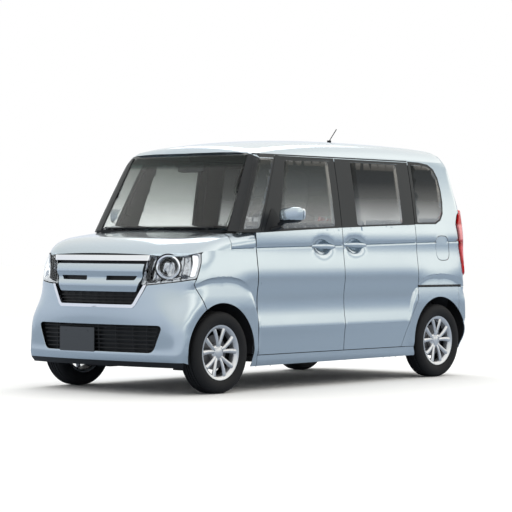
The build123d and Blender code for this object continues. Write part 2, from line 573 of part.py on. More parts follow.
with BuildPart() as floor_pan:
    add(block((REAR_FLOOR_X - 30, -676, FLOOR_Z - 40), (834, 676, FLOOR_Z)))
    add(block((REAR_FLOOR_X - 30, -676, FLOOR_Z - 40), (REAR_FLOOR_X, 676, REAR_FLOOR_Z)))
    add(block((-1598, -676, REAR_FLOOR_Z - 30), (REAR_FLOOR_X, 676, REAR_FLOOR_Z)))
    add(block((-1598, -640, 300), (-1575, 640, REAR_BUMPER_TOP_Z - 40)))
    for side in (-1, 1):
        add(rod((REAR_AXLE_X, 480 * side, ARCH_Z), (REAR_AXLE_X, 800 * side, ARCH_Z), HOUSE_R),
            mode=Mode.SUBTRACT)
    left = housing(REAR_AXLE_X, 480, 676, 240) & block((-1598, 0, 0), (0, 900, 900))
    left = left - block((-1598, 0, 0), (REAR_FLOOR_X - 30, 508, REAR_FLOOR_Z - 30))
    add(left)
    add(left.mirror(Plane.XZ))
    for side in (-1, 1):
        add(block((pillar_x[0] - SEAM, min(580 * side, 700 * side), 0),
                  (pillar_x[1] + SEAM, max(580 * side, 700 * side), FLOOR_Z + EPS)),
            mode=Mode.SUBTRACT)
    add(cabin_solid(WALL + SEAM), mode=Mode.INTERSECT)
write(floor_pan.part, "floor_pan")

with BuildPart() as front_structure:
    left = housing(FRONT_AXLE_X, HOUSE_INNER_Y, 705, 255)
    with BuildPart() as tower:
        add(rod((FRONT_AXLE_X, KINGPIN_Y, 600), (FRONT_AXLE_X, KINGPIN_Y, STRUT_TOP_Z + 10), 78))
        add(rod((FRONT_AXLE_X, KINGPIN_Y, 500), (FRONT_AXLE_X, KINGPIN_Y, STRUT_TOP_Z), 70),
            mode=Mode.SUBTRACT)
    cutter = rod((FRONT_AXLE_X, KINGPIN_Y, 500), (FRONT_AXLE_X, KINGPIN_Y, STRUT_TOP_Z), 70)
    post = block((770, 575, FLOOR_Z), (835, DOOR_POST_Y, 1080))
    rail = block((1000, 330, 380), (RADIATOR_X, HOUSE_INNER_Y, 470))
    half = ((left + rail) & nose_solid(BUMPER_WALL + 2)) + tower.part + post - cutter
    with BuildPart() as arms:
        for z in DOOR_HINGE_Z:
            x, y = door_axis
            add(hinge_arm((x, y, z), "z", ((x - 6, DOOR_POST_Y - 5, z - BARREL_HALF),
                                                 (x + 6, y, z + BARREL_HALF))))
        x, z = HOOD_AXIS_X, HOOD_AXIS_Z
        y = HOOD_HINGE_Y
        add(hinge_arm((x, y, z), "y", ((x - 6, y - BARREL_HALF, 1000), (x + 6, y + BARREL_HALF, z))))
    half = half + arms.part
    add(half)
    add(half.mirror(Plane.XZ))
    add(block((820, -DOOR_POST_Y, 655), (835, DOOR_POST_Y, 1080)))
    add(block((820, -HOUSE_INNER_Y + 8, FLOOR_Z), (835, HOUSE_INNER_Y - 8, 660)))
    add(block((820, -600, 1000), (HOOD_AXIS_X + 6, 600, 1012)))
    add(block((1000, -600, 1012), (1012, 600, 1085)))
    wide = HOUSE_INNER_Y
    for low, high in (((-wide, 380), (wide, 470)), ((-wide, 470), (-wide + 35, 900)),
                      ((wide - 35, 470), (wide, 900)),
                      ((-wide, 880), (wide, 900))):
        add(block((RADIATOR_X - 25, *low), (RADIATOR_X, *high)))
    for side in (-1, 1):
        add(rod((FRONT_AXLE_X, KINGPIN_Y * side, STRUT_TOP_Z - 5),
                (FRONT_AXLE_X, KINGPIN_Y * side, STRUT_TOP_Z + 20),
                8 + RUNNING), mode=Mode.SUBTRACT)
write(front_structure.part, "front_structure")

# ------------------------------------------------------------------ wheels and tyres
SPOKE_PAIRS = 5
BEAD_Y = 57.7  # half the tyre's width at the bead
WHEEL_FACE_Y = HALF_TRACK + 62  # outer face of the rim
wheel_places = {"front_left": (FRONT_AXLE_X, 1), "front_right": (FRONT_AXLE_X, -1),
                "rear_left": (REAR_AXLE_X, 1), "rear_right": (REAR_AXLE_X, -1)}

with BuildPart() as tyre:
    with BuildSketch(Plane.XY.offset(TYRE_R)):
        with BuildLine():
            x, middle, half = FRONT_AXLE_X, HALF_TRACK, TYRE_WIDTH / 2
            Polyline((x + RIM_R + SEAM, middle - BEAD_Y), (x + RIM_R + 8.5, middle - BEAD_Y),
                     (x + 190, middle - half + 11),
                     (x + 215, middle - half), (x + 252, middle - half), (x + 270, middle - half + 12),
                     (x + TYRE_R, middle - half + 30), (x + TYRE_R, middle + half - 30),
                     (x + 270, middle + half - 12),
                     (x + 252, middle + half), (x + 215, middle + half), (x + 190, middle + half - 11),
                     (x + RIM_R + 8.5, middle + BEAD_Y), (x + RIM_R + SEAM, middle + BEAD_Y), close=True)
        make_face()
    revolve(axis=Axis((FRONT_AXLE_X, 0, TYRE_R), (0, 1, 0)))

with BuildPart() as wheel:
    with BuildSketch(Plane.XY.offset(TYRE_R)):
        with BuildLine():
            x = FRONT_AXLE_X
            Polyline((x + RIM_R - 14, HALF_TRACK - 58), (x + RIM_R, HALF_TRACK - 66),
                     (x + RIM_R, HALF_TRACK + 58),
                     (x + RIM_R + 8, WHEEL_FACE_Y - 3.5), (x + RIM_R + 8, WHEEL_FACE_Y),
                     (x + RIM_R - 12, WHEEL_FACE_Y), (x + RIM_R - 14, HALF_TRACK + 50),
                     close=True)
        make_face()
    revolve(axis=Axis((FRONT_AXLE_X, 0, TYRE_R), (0, 1, 0)))
    with BuildSketch(Plane((FRONT_AXLE_X, HALF_TRACK + 40, TYRE_R), x_dir=(1, 0, 0),
                           z_dir=(0, 1, 0))) as face:
        Circle(RIM_R - 13)
        for pair in range(SPOKE_PAIRS):
            for middle, width in ((0, 24), (36, 30)):
                turn = 360 / SPOKE_PAIRS * pair + middle
                with BuildLine():
                    inner_r, outer_r = 62, RIM_R - 24
                    a0, a1 = radians(turn - width * 0.36), radians(turn + width * 0.36)
                    b0, b1 = radians(turn - width * 0.5), radians(turn + width * 0.5)
                    Polyline((inner_r * cos(a0), inner_r * sin(a0)), (outer_r * cos(b0), outer_r * sin(b0)),
                             (outer_r * cos(radians(turn)) * 1.02, outer_r * sin(radians(turn)) * 1.02),
                             (outer_r * cos(b1), outer_r * sin(b1)), (inner_r * cos(a1), inner_r * sin(a1)),
                             close=True)
                make_face(mode=Mode.SUBTRACT)
    extrude(amount=16)
    add(rod((FRONT_AXLE_X, HALF_TRACK - 10, TYRE_R), (FRONT_AXLE_X, HALF_TRACK + 56, TYRE_R), 58))
    add(rod((FRONT_AXLE_X, HALF_TRACK - 20, TYRE_R), (FRONT_AXLE_X, HALF_TRACK + 40, TYRE_R),
            SPINDLE_R + RUNNING),
        mode=Mode.SUBTRACT)
for place, (axle_x, side) in wheel_places.items():
    for piece, kind in ((tyre.part, "tyre"), (wheel.part, "wheel")):
        moved = piece.moved(Location((axle_x - FRONT_AXLE_X, 0, 0)))
        write(moved if side > 0 else moved.mirror(Plane.XZ), f"{kind}_{place}")

# ------------------------------------------------------------------ suspension, engine and steering
with BuildPart() as knuckle:
    add(rod((FRONT_AXLE_X, KINGPIN_Y, 175), (FRONT_AXLE_X, KINGPIN_Y, 330), 24))
    add(rod((FRONT_AXLE_X, KINGPIN_Y, 330), (FRONT_AXLE_X, KINGPIN_Y, 567), 21))
    add(rod((FRONT_AXLE_X, KINGPIN_Y, 560), (FRONT_AXLE_X, KINGPIN_Y, STRUT_TOP_Z - 20), 11))
    add(rod((FRONT_AXLE_X, KINGPIN_Y, 566), (FRONT_AXLE_X, KINGPIN_Y, 572), 58))
    add(rod((FRONT_AXLE_X, KINGPIN_Y, 572), (FRONT_AXLE_X, KINGPIN_Y, STRUT_TOP_Z - 14), 46))
    add(rod((FRONT_AXLE_X, KINGPIN_Y, STRUT_TOP_Z - 20), (FRONT_AXLE_X, KINGPIN_Y, STRUT_TOP_Z - 8), 58))
    add(rod((FRONT_AXLE_X, KINGPIN_Y, STRUT_TOP_Z - 8), (FRONT_AXLE_X, KINGPIN_Y, STRUT_TOP_Z + 12), 8))
    add(rod((FRONT_AXLE_X, KINGPIN_Y, TYRE_R), (FRONT_AXLE_X, HALF_TRACK - 20, TYRE_R), 30))
    add(rod((FRONT_AXLE_X, KINGPIN_Y, TYRE_R), (FRONT_AXLE_X, HALF_TRACK + 36, TYRE_R), SPINDLE_R))
    add(rod((FRONT_AXLE_X, KINGPIN_Y, 135), (FRONT_AXLE_X, KINGPIN_Y, 176), 8))
write_pair(knuckle.part, "knuckle")

with BuildPart() as subframe:
    add(block((1120, -330, 200), (1180, 330, 250)))
    for side in (-1, 1):
        y = side * KINGPIN_Y
        add(block((1150, min(side * 300, side * 380), 205),
                  (1180, max(side * 300, side * 380), 380 - SEAM)))
        add(block((1178, min(side * 300, y), 145), (1227, max(side * 300, y), 170)))
        add(block((1150, min(side * 300, side * 330), 145), (1200, max(side * 300, side * 330), 205)))
        add(rod((FRONT_AXLE_X, y, 145), (FRONT_AXLE_X, y, 170), 25))
    for side in (-1, 1):
        y = side * KINGPIN_Y
        add(rod((FRONT_AXLE_X, y, 130), (FRONT_AXLE_X, y, 200), 8 + RUNNING), mode=Mode.SUBTRACT)
write(subframe.part, "front_subframe")

BEAM_X = -1235.0  # cross tube of the rear axle
with BuildPart() as rear_axle:
    add(rod((BEAM_X, -470, 250), (BEAM_X, 470, 250), 30))
    for side in (-1, 1):
        low_y, high_y = sorted((455 * side, 500 * side))
        add(block((-1345, low_y, 225), (REAR_FLOOR_X - 30 - SEAM, high_y, 275)))
        add(block((-1345, low_y, 225), (-1290, high_y, 335)))
        add(rod((REAR_AXLE_X, side * 470, TYRE_R), (REAR_AXLE_X, side * (HALF_TRACK - 22), TYRE_R), 30))
        add(rod((REAR_AXLE_X, side * 470, TYRE_R), (REAR_AXLE_X, side * (HALF_TRACK + 36), TYRE_R),
                SPINDLE_R))
        add(rod((-1290, side * 420, 270), (-1290, side * 420, REAR_FLOOR_Z - 30 - SEAM), 45))
        low_y, high_y = sorted((375 * side, 470 * side))
        add(block((-1335, low_y, 250), (-1245, high_y, 270)))
write(rear_axle.part, "rear_axle")

with BuildPart() as engine:
    add(block((1230, -290, 260), (1530, 290, 860)))
    for side in (-1, 1):
        add(block((1340, min(side * 290, side * (330 - SEAM)), 400),
                  (1420, max(side * 290, side * (330 - SEAM)), 450)))
write(engine.part, "engine")
with BuildPart() as exhaust:
    add(block((-1560, -340, 330), (-1400, 140, 470)))
    for x in (-1500, -1440):
        add(rod((x, -140, 460), (x, -140, REAR_FLOOR_Z - 30 - SEAM), 8))
write(exhaust.part, "exhaust")
with BuildPart() as fuel_tank:
    add(block((-420, -420, 158), (180, 420, FLOOR_Z - 40 - SEAM)))
write(fuel_tank.part, "fuel_tank")

WHEEL_TILT = 27.0  # steering column above the level
WHEEL_CENTRE = Vector(430, -350, 975)
column_axis = Vector(-cos(radians(WHEEL_TILT)), 0, sin(radians(WHEEL_TILT)))
RING_R = 178.0
with BuildPart() as steering_wheel:
    with BuildSketch(Plane(WHEEL_CENTRE, z_dir=column_axis)):
        Circle(RING_R + 14)
        Circle(RING_R - 14, mode=Mode.SUBTRACT)
        Circle(62)
        Rectangle(2 * RING_R, 40)
        Rectangle(2 * RING_R, 40, rotation=90)
    extrude(amount=13, both=True)
    back = Plane(WHEEL_CENTRE - column_axis * 75, z_dir=column_axis)
    with BuildSketch(back):
        Circle(24)
    extrude(amount=70)
    with BuildSketch(back):
        Circle(12 + RUNNING)
    extrude(amount=30, mode=Mode.SUBTRACT)
write(steering_wheel.part, "steering_wheel")

with BuildPart() as dashboard:
    with BuildSketch(Plane.XZ):
        with BuildLine():
            Polyline((820 - SEAM, 700), (820 - SEAM, 1060), (700, 1075), (600, 1010), (620, 880),
                     (700, 780), (700, 700),
                     close=True)
        make_face()
    extrude(amount=630, both=True)
    for side in (-1, 1):
        low_y, high_y = sorted(((575 - SEAM) * side, 700 * side))
        add(block((770 - SEAM, low_y, 600), (835, high_y, 1100)), mode=Mode.SUBTRACT)
    column_end = WHEEL_CENTRE - column_axis * 76
    with BuildSketch(Plane(column_end, z_dir=-column_axis)):
        Circle(34)
    extrude(amount=220)
    with BuildSketch(Plane(column_end, z_dir=column_axis)):
        Circle(12)
    extrude(amount=29)
write(dashboard.part, "dashboard")

# ------------------------------------------------------------------ seats
def seat_solid(x_front, y_low, y_high):
    """A seat on its rails: cushion, raked back and head restraint."""
    with BuildPart() as seat:
        with BuildSketch(Plane.XZ.offset(-y_high)):
            with BuildLine():
                Polyline((x_front, 520), (x_front - 20, 600), (x_front - 470, 570), (x_front - 620, 1180),
                         (x_front - 700, 1190), (x_front - 720, 1150), (x_front - 600, 560),
                         (x_front - 560, 470),
                         (x_front - 40, 470), close=True)
            make_face()
        extrude(amount=y_high - y_low)
        middle = (y_low + y_high) / 2
        add(block((x_front - 725, middle - 120, 1215), (x_front - 635, middle + 120, 1380)))
        for side in (-1, 1):
            add(rod((x_front - 672, middle + side * 50, 1170), (x_front - 682, middle + side * 50, 1230),
                    7))
        for x in (x_front - 100, x_front - 500):
            add(block((x - 30, y_low + 40, FLOOR_Z), (x + 30, y_low + 80, 480)))
            add(block((x - 30, y_high - 80, FLOOR_Z), (x + 30, y_high - 40, 480)))
    return seat.part


write_both(seat_solid(290, 60, 560), "front_seats")
rear_left = seat_solid(-560, 8, 465)
write(rear_left + rear_left.mirror(Plane.XZ) + block((-1050, -60, 480), (-650, 60, 560)), "rear_seat")

# ------------------------------------------------------------------ mirrors, wipers and antenna
with BuildPart() as mirror_head:
    with BuildSketch(Plane.XY.offset(1160)):
        with BuildLine():
            Polyline((590, 752), (652, 760), (652, 850), (620, 912), (570, 912), (570, 760), close=True)
        make_face()
    extrude(amount=118)
    add(rod((*MIRROR_AXIS, MIRROR_FOOT_Z + 1), (*MIRROR_AXIS, MIRROR_FOOT_Z + 21), 16))
    add(rod((*MIRROR_AXIS, MIRROR_FOOT_Z), (*MIRROR_AXIS, MIRROR_FOOT_Z + 16), MIRROR_PIN_R + RUNNING),
        mode=Mode.SUBTRACT)
write_pair(mirror_head.part, "door_mirror")

cowl_back = 1012.0 + SEAM
with BuildPart() as cowl:
    add(block((cowl_back, -600 + SEAM, 1092), (1064, 600 - SEAM, SCREEN_LOW_Z - SEAM)))
    add(block((cowl_back, -600 + SEAM, 1020), (cowl_back + 10, 600 - SEAM, 1092)))
write(cowl.part, "cowl")


def screen_point(y, z, lift):
    """A point on the windscreen's outer side, lifted along +X."""
    return (1085 - GLASS_INSET - RAKE * (z - BELT_Z) - 71 * (y / 635) ** 2 + lift, y, z)


with BuildPart() as front_wipers:
    for pivot_y, blade_y in ((450, (510, 80)), (-450, (-80, -510))):
        start = screen_point(blade_y[0], 1126, 22)
        end = screen_point(blade_y[1], 1126, 22)
        hold = tuple((a + b) / 2 for a, b in zip(start, end))
        add(rod(start, end, 6))
        add(rod((1050, pivot_y, 1100), (1050, pivot_y, 1128), 11))
        add(rod((1050, pivot_y, 1124), hold, 7))
    add(cowl.part, mode=Mode.SUBTRACT)
write(front_wipers.part, "front_wipers")

with BuildPart() as antenna:
    add(rod((-870, 0, ROOF_Z + 20), (-960, 0, ROOF_Z + 115), 3.5))
    add(rod((-870, 0, ROOF_Z - 30), (-870, 0, ROOF_Z + 26), 16))
    add(cabin_solid(0), mode=Mode.SUBTRACT)
write(antenna.part, "antenna")

with BuildPart() as cabin_mirror:
    add(block((700, -120, 1530), (722, 120, 1590)))
    add(rod((738, 0, 1649), (715, 0, 1575), 8))
    add(block((720, -16, 1650), (765, 16, SCREEN_TOP_Z)))
write(cabin_mirror.part, "cabin_mirror")
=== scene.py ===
from math import cos, pi, radians, sin

import bpy
import numpy as np
from mathutils import Matrix, Vector, geometry


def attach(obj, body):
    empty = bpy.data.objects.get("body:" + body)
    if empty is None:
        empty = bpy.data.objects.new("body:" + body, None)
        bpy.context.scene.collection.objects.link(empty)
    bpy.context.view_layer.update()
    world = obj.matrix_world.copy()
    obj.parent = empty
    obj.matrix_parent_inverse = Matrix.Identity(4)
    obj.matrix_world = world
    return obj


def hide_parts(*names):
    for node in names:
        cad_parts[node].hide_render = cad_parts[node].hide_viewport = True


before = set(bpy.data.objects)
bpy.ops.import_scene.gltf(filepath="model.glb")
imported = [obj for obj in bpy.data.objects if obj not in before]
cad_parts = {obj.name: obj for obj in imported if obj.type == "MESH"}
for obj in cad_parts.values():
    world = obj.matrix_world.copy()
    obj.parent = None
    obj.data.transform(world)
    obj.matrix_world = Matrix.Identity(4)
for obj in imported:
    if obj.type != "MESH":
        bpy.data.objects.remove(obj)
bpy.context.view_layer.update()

bl_info = {
    "name": "Kei tall wagon",
    "version": (1, 0, 0),
    "blender": (4, 5, 0),
    "location": "View3D > Sidebar > Wagon",
    "description": "Body skins, glass, lamps, wheels and cabin of a kei-class tall wagon",
    "category": "Object",
}

MM = 0.001
SIZES = {"groove": 11.0, "dish": 26.0, "spoke": 12.5, "tread": 7.0}  # millimetres, taken from the settings

# ------------------------------------------------------------------ form of the body, in millimetres
NOSE_MID = 2291.0  # unrolled place of the nose's centre
TAIL_MID = -2275.6  # and of the tail's centre
FRONT_TURN_X, FRONT_TURN_Y, FRONT_TURN_R = 1400.0, 420.0, 300.0
REAR_TURN_X, REAR_TURN_Y, REAR_TURN_R = -1480.0, 560.0, 150.0
REAR_SIDE_Y = 722.0  # half width just ahead of the rear corner
BELT_Z, RAKE = 1103.0, 0.549
FRONT_AXLE_X, REAR_AXLE_X, HALF_TRACK, AXLE_Z = 1202.5, -1317.5, 652.5, 278.5
ARCH_Z, ARCH_R = 285.0, 330.0
FLARE_LONG, FLARE_HIGH = 388.0, 505.0  # where the flare round a wheel arch begins
FLARE_Z, FLARE_Y = [150, 585, 640, 790, 1030], [736.8, 736.8, 733.0, 717, 698]  # and its half width
FLARE_EDGE, LIP, LIP_FADE = 0.06, 4.0, 0.09  # its turned edge, and the lip of the panel above it
SIDE_LIMIT = 737.0  # half width that nothing on the side passes
DISHES, DISH_LONG, DISH_HIGH = ((92, 993), (-286, 1001)), 96, 54  # hollows behind the door handles
REACH, HALVINGS = 1500.0, 34  # how far a ray is followed to the skin, and how finely
SHARP = radians(38)  # edges turned by more than this stay sharp


def curve(knots, values, t):
    """Cubic through (knot, value) pairs, with slopes taken from the neighbouring pairs."""
    k, v = np.array(knots, float), np.array(values, float)
    slope = np.gradient(v, k)
    t = np.clip(t, k[0], k[-1])
    i = np.clip(np.searchsorted(k, t) - 1, 0, len(k) - 2)
    h = k[i + 1] - k[i]
    s = (t - k[i]) / h
    return ((2 * s ** 3 - 3 * s ** 2 + 1) * v[i] + (s ** 3 - 2 * s ** 2 + s) * h * slope[i]
            + (3 * s ** 2 - 2 * s ** 3) * v[i + 1] + (s ** 3 - s ** 2) * h * slope[i + 1])


def step(low, high, t):
    """Smooth step from 0 at low to 1 at high."""
    s = np.clip((t - low) / (high - low), 0, 1)
    return s * s * (3 - 2 * s)


def blend(a, b, r):
    """The larger of a and b, with the corner between them rounded over a width r."""
    h = np.clip(0.5 + 0.5 * (a - b) / r, 0, 1)
    return b * (1 - h) + a * h + r * h * (1 - h)


SIDE_Z = [150, 175, 205, 235, 300, 360, 410, 429, 438, 450, 480, 520, 550, 580, 620, 660, 700, 740, 780, 820,
          850, 880, 910, 940, 970, 990, 1003, 1030, 1060, 1103, 1150, 1240, 1375, 1500, 1640, 1720, 1800]
SIDE_Y = [700, 714, 720.5, 719.5, 722.5, 727, 733.5, 736.6, 736.2, 734.7, 730.8, 725.6, 722.2, 720.4,
          719.4, 720.2, 724.2, 730.6, 733, 731.6, 728.6, 725, 721.3, 717.6, 714.4, 713, 712.4, 711.6,
          710, 706, 699.5, 687, 667, 646, 620, 604, 588]
NOSE_PROFILE_Z = [150, 190, 240, 300, 400, 500, 600, 700, 780, 860, 900, 950, 1000, 1050, 1100]
NOSE_PROFILE_X = [1600, 1662, 1690, 1688.5, 1694, 1696, 1693, 1689, 1682, 1674, 1669, 1660, 1640, 1600, 1545]
TAIL_PROFILE_Z = [150, 236, 330, 420, 600, 690, 760, 1100, 1250, 1400, 1530, 1660, 1735, 1768, 1790]
TAIL_PROFILE_X = [1640, 1662, 1685, 1696, 1696, 1696, 1689, 1681, 1672, 1660, 1640, 1612, 1572, 1500, 1300]
NOSE_TURN_Z = [150, 230, 300, 360, 430, 500, 560, 620, 700, 800, 880, 940, 1100]  # width of the front turn
NOSE_TURN_R = [60, 46, 46, 66, 92, 104, 150, 205, 245, 265, 275, 330, 350]
TAIL_TURN_Z = [150, 250, 330, 600, 690, 760, 900, 1000, 1100, 1300, 1400, 1600, 1790]  # and of the rear one
TAIL_TURN_R = [100, 92, 52, 56, 72, 92, 86, 76, 64, 62, 92, 118, 160]
ROOF_X = [-1600, -1480, -1300, -1000, -800, -400, 0, 400, 700, 800]
ROOF_TOP = [1738, 1764, 1778, 1787, 1789, 1788, 1778, 1750, 1716, 1702]


def groove_z(x):
    """Height of the groove along the side."""
    return np.interp(x, [-1563, -138, 813, 1348], [1038, 1005, 986, 972])


def side_y(x, z):
    """Half width of the body at (x, z): the section, less the groove and the hollows, redrawn at the arches.

    A flare lies where |x|^3 + |z|^3 < 1, measured from its axle in units of its length and height. The groove
    is a narrow slot under a panel that curls in to it, and each hollow falls off as exp(-r^4.4).
    """
    y = curve(SIDE_Z, SIDE_Y, z)
    along = step(1345, 1300, x) * step(-1640, -1590, x)
    above = z - groove_z(x)
    curl = step(-1.5, 0.5, above) * np.exp(-np.maximum(above, 0) / 8.0)
    y = y - SIZES["groove"] * along * (0.5 * curl + 0.6 * np.exp(-((above - 1.0) / 2.8) ** 2))
    for axle in (FRONT_AXLE_X, REAR_AXLE_X):
        reach = np.cbrt(np.abs((x - axle) / FLARE_LONG) ** 3 + (np.maximum(z - ARCH_Z, 0) / FLARE_HIGH) ** 3)
        t = np.clip((1 - reach) / FLARE_EDGE, 0, 1)
        share = t * (2 - t) * step(205, 300, z) * step(1030, 990, z)
        y = y + LIP * np.exp(-np.maximum(reach - 1, 0) / LIP_FADE) * step(640, 740, z) * step(1030, 960, z)
        y = y + (np.interp(z, FLARE_Z, FLARE_Y) - y) * share
    for x0, z0 in DISHES:
        r2 = ((x - x0) / DISH_LONG) ** 2 + ((z - z0) / DISH_HIGH) ** 2
        y = y - SIZES["dish"] * np.exp(-r2 ** 2.2)
    return np.minimum(y, SIDE_LIMIT)


def side_form(x, y, z):
    """Negative between the two sides."""
    return np.abs(y) - side_y(x, z)


def screen_x(y, z):
    """The windscreen's plane, bowed across the car."""
    return 1085 - RAKE * (z - BELT_Z) - 71 * (y / 635) ** 2


def nose_form(x, y, z):
    """Negative inside the nose: front face, sides and hood, blended at their meetings."""
    bow = np.interp(z, [300, 560, 700], [0.13e-3, 0.165e-3, 0.2e-3])
    front = x - (curve(NOSE_PROFILE_Z, NOSE_PROFILE_X, z) - bow * y ** 2)
    body = blend(front, side_form(x, y, z), curve(NOSE_TURN_Z, NOSE_TURN_R, z))
    top = 1110 - 0.12 * (x - 1090) - 0.05e-3 * y ** 2 - 0.25e-7 * np.abs(y) ** 3
    valley = 5.0 * np.exp(-(((np.abs(y) - 470) / 80) ** 2)) * step(1560, 1250, x)
    return blend(body, z - (top - valley), 90.0)


def cabin_form(x, y, z):
    """Negative inside the cabin: sides, roof, windscreen plane and tail."""
    roof = z - (curve(ROOF_X, ROOF_TOP, x) - 0.135e-3 * y ** 2)
    screen = (x - screen_x(y, z)) * 0.85
    tail = -x - (curve(TAIL_PROFILE_Z, TAIL_PROFILE_X, z) - 0.02e-3 * y ** 2)
    form = blend(blend(side_form(x, y, z), roof, 95.0), screen, 42.0)
    return blend(form, tail, curve(TAIL_TURN_Z, TAIL_TURN_R, z))


def reach_skin(form, origin, direction):
    """Where rays leave a form: each ray's length is halved down to the crossing."""
    low, high = np.zeros(len(origin)), np.full(len(origin), REACH)
    for _ in range(HALVINGS):
        mid = (low + high) / 2
        inside = form(*(origin + direction * mid[:, None]).T) < 0
        low, high = np.where(inside, mid, low), np.where(inside, high, mid)
    return origin + direction * low[:, None]


def around(form):
    """Unrolled girth: u runs from the tail's centre along the left side to the nose's centre and on."""
    def place(u, v):
        flip = (u > NOSE_MID) | (u < TAIL_MID)
        u = np.where(u > NOSE_MID, 2 * NOSE_MID - u, np.where(u < TAIL_MID, 2 * TAIL_MID - u, u))
        front = np.clip((u - FRONT_TURN_X) / FRONT_TURN_R, 0, pi / 2)
        rear = np.clip((REAR_TURN_X - u) / REAR_TURN_R, 0, pi / 2)
        angle = pi / 2 - front + rear
        past_front = np.maximum(u - FRONT_TURN_X - FRONT_TURN_R * pi / 2, 0)
        past_rear = np.maximum(REAR_TURN_X - REAR_TURN_R * pi / 2 - u, 0)
        turn_y = np.where(u > 0, FRONT_TURN_Y, REAR_TURN_Y)
        origin = np.stack([np.clip(u, REAR_TURN_X, FRONT_TURN_X), turn_y - past_front - past_rear, v], 1)
        direction = np.stack([np.cos(angle), np.sin(angle), np.zeros_like(u)], 1)
        found = reach_skin(form, origin, direction)
        found[:, 1] *= np.where(flip, -1, 1)
        return found
    return place


def over(form, x_low, x_high, y0, z0, r):
    """Unrolled top: u runs along the car and down over its ends, v across and down over the sides."""
    def place(u, v):
        lean_x = np.clip((u - x_high) / r, 0, 1.5) - np.clip((x_low - u) / r, 0, 1.5)
        lean_y = np.clip((np.abs(v) - y0) / r, 0, 1.5) * np.sign(v)
        along, up = np.sin(lean_x), np.cos(lean_x)
        direction = np.stack([along, np.sin(lean_y) * up, up * np.cos(lean_y)], 1)
        origin = np.stack([np.clip(u, x_low, x_high), np.clip(v, -y0, y0), np.full_like(u, z0)], 1)
        return reach_skin(form, origin, direction)
    return place


def ahead(form):
    """Front view: u is y, v is z, and the rays run forward from the cabin."""
    def place(u, v):
        origin = np.stack([np.zeros_like(u), u, v], 1)
        return reach_skin(form, origin, np.tile([1.0, 0, 0], (len(u), 1)))
    return place


def place_of_x(x):
    """Unrolled place of a point of the side at x, also where the rear corner turns."""
    angle = np.arctan2(REAR_SIDE_Y - REAR_TURN_Y, x - REAR_TURN_X) - pi / 2
    return float(REAR_TURN_X - REAR_TURN_R * angle if x < REAR_TURN_X else x)


# ------------------------------------------------------------------ outlines and meshes
def rounded(points, radius, count=6):
    """A closed outline with each corner cut by a curve that starts radius away from it."""
    pts = np.array(points, float)
    out = []
    for here, before, after in zip(pts, np.roll(pts, 1, 0), np.roll(pts, -1, 0)):
        a, b = before - here, after - here
        long_a, long_b = np.linalg.norm(a), np.linalg.norm(b)
        a, b = a / long_a * min(radius, long_a * 0.45), b / long_b * min(radius, long_b * 0.45)
        t = np.linspace(0, 1, count)[:, None]
        out.append(here + a * (1 - t) ** 2 + b * t ** 2)
    return np.concatenate(out)


def dense(loop, gap):
    """The closed outline with points no further apart than gap."""
    pts = np.array(loop, float)
    out = []
    for a, b in zip(pts, np.roll(pts, -1, 0)):
        n = max(1, int(np.ceil(np.linalg.norm(b - a) / gap)))
        out.append(a + (b - a) * (np.arange(n) / n)[:, None])
    out = np.concatenate(out)
    keep = np.linalg.norm(out - np.roll(out, 1, 0), axis=1) > 0.05
    return out[keep]


def inside(points, loop):
    """Which points lie inside a closed outline, by counting crossings."""
    x, y = points[:, 0], points[:, 1]
    hit = np.zeros(len(points), bool)
    for (xa, ya), (xb, yb) in zip(loop, np.roll(loop, -1, 0)):
        if ya == yb:
            continue
        hit ^= ((ya > y) != (yb > y)) & (x < (xb - xa) * (y - ya) / (yb - ya) + xa)
    return hit


def within(points, loops):
    """Which points lie inside the first outline and in none of the others."""
    ok = inside(points, loops[0])
    for hole in loops[1:]:
        ok &= ~inside(points, hole)
    return ok


def trimmed(outline, holes=(), gap=26.0, rim=11.0, fine=()):
    """Points and faces of a flat sheet: a grid of spacing gap inside the outline, finer where asked."""
    loops = [dense(loop, rim) for loop in (outline, *holes)]
    low, high = loops[0].min(0), loops[0].max(0)
    xs, ys = np.arange(low[0], high[0], gap), np.arange(low[1], high[1], gap)
    grid = np.stack(np.meshgrid(xs, ys), -1).reshape(-1, 2)
    layers = [(grid, gap)]
    if len(fine):
        extra = np.concatenate(fine)
        layers = [(grid[nearest(grid, extra) > gap * 0.45], gap), (extra, 4.0)]
    kept = []
    for points, room in layers:
        points = points[within(points, loops)]
        if len(points):
            points = points[nearest(points, np.concatenate(loops)) > room * 0.42]
        kept.append(points)
    edges, start = [], 0
    for loop in loops:
        n = len(loop)
        edges += [(start + i, start + (i + 1) % n) for i in range(n)]
        start += n
    points = [tuple(p) for p in np.concatenate(loops + kept)]
    flat = geometry.delaunay_2d_cdt(points, edges, [], 0, 1e-4, False)
    verts, faces = np.array([tuple(v) for v in flat[0]]), np.array([f for f in flat[2] if len(f) == 3])
    return verts, faces[within(verts[faces].mean(1), loops)]


def nearest(points, others):
    """Distance from each point to the nearest of the others."""
    out = np.empty(len(points))
    for i in range(0, len(points), 2000):
        part = points[i:i + 2000]
        out[i:i + 2000] = np.sqrt(((part[:, None] - others[None]) ** 2).sum(-1).min(1))
    return out


SIDES = {"left": 1, "right": -1}


def on_side(mesh_data, side):
    """A mesh as it is (1) or mirrored to the car's other side (-1), with its faces turned back outward."""
    verts, faces = mesh_data
    return np.asarray(verts) * [1, side, 1], [face[::side] for face in faces]


def lay(place, outline, holes=(), gap=26.0, rim=11.0, fine=(), flip=True, shift=(0, 0, 0)):
    """A trimmed sheet laid on the body through one of the unrolled maps, then shifted."""
    flat, faces = trimmed(outline, holes, gap, rim, fine)
    return place(flat[:, 0], flat[:, 1]) + shift, faces[:, ::-1] if flip else faces


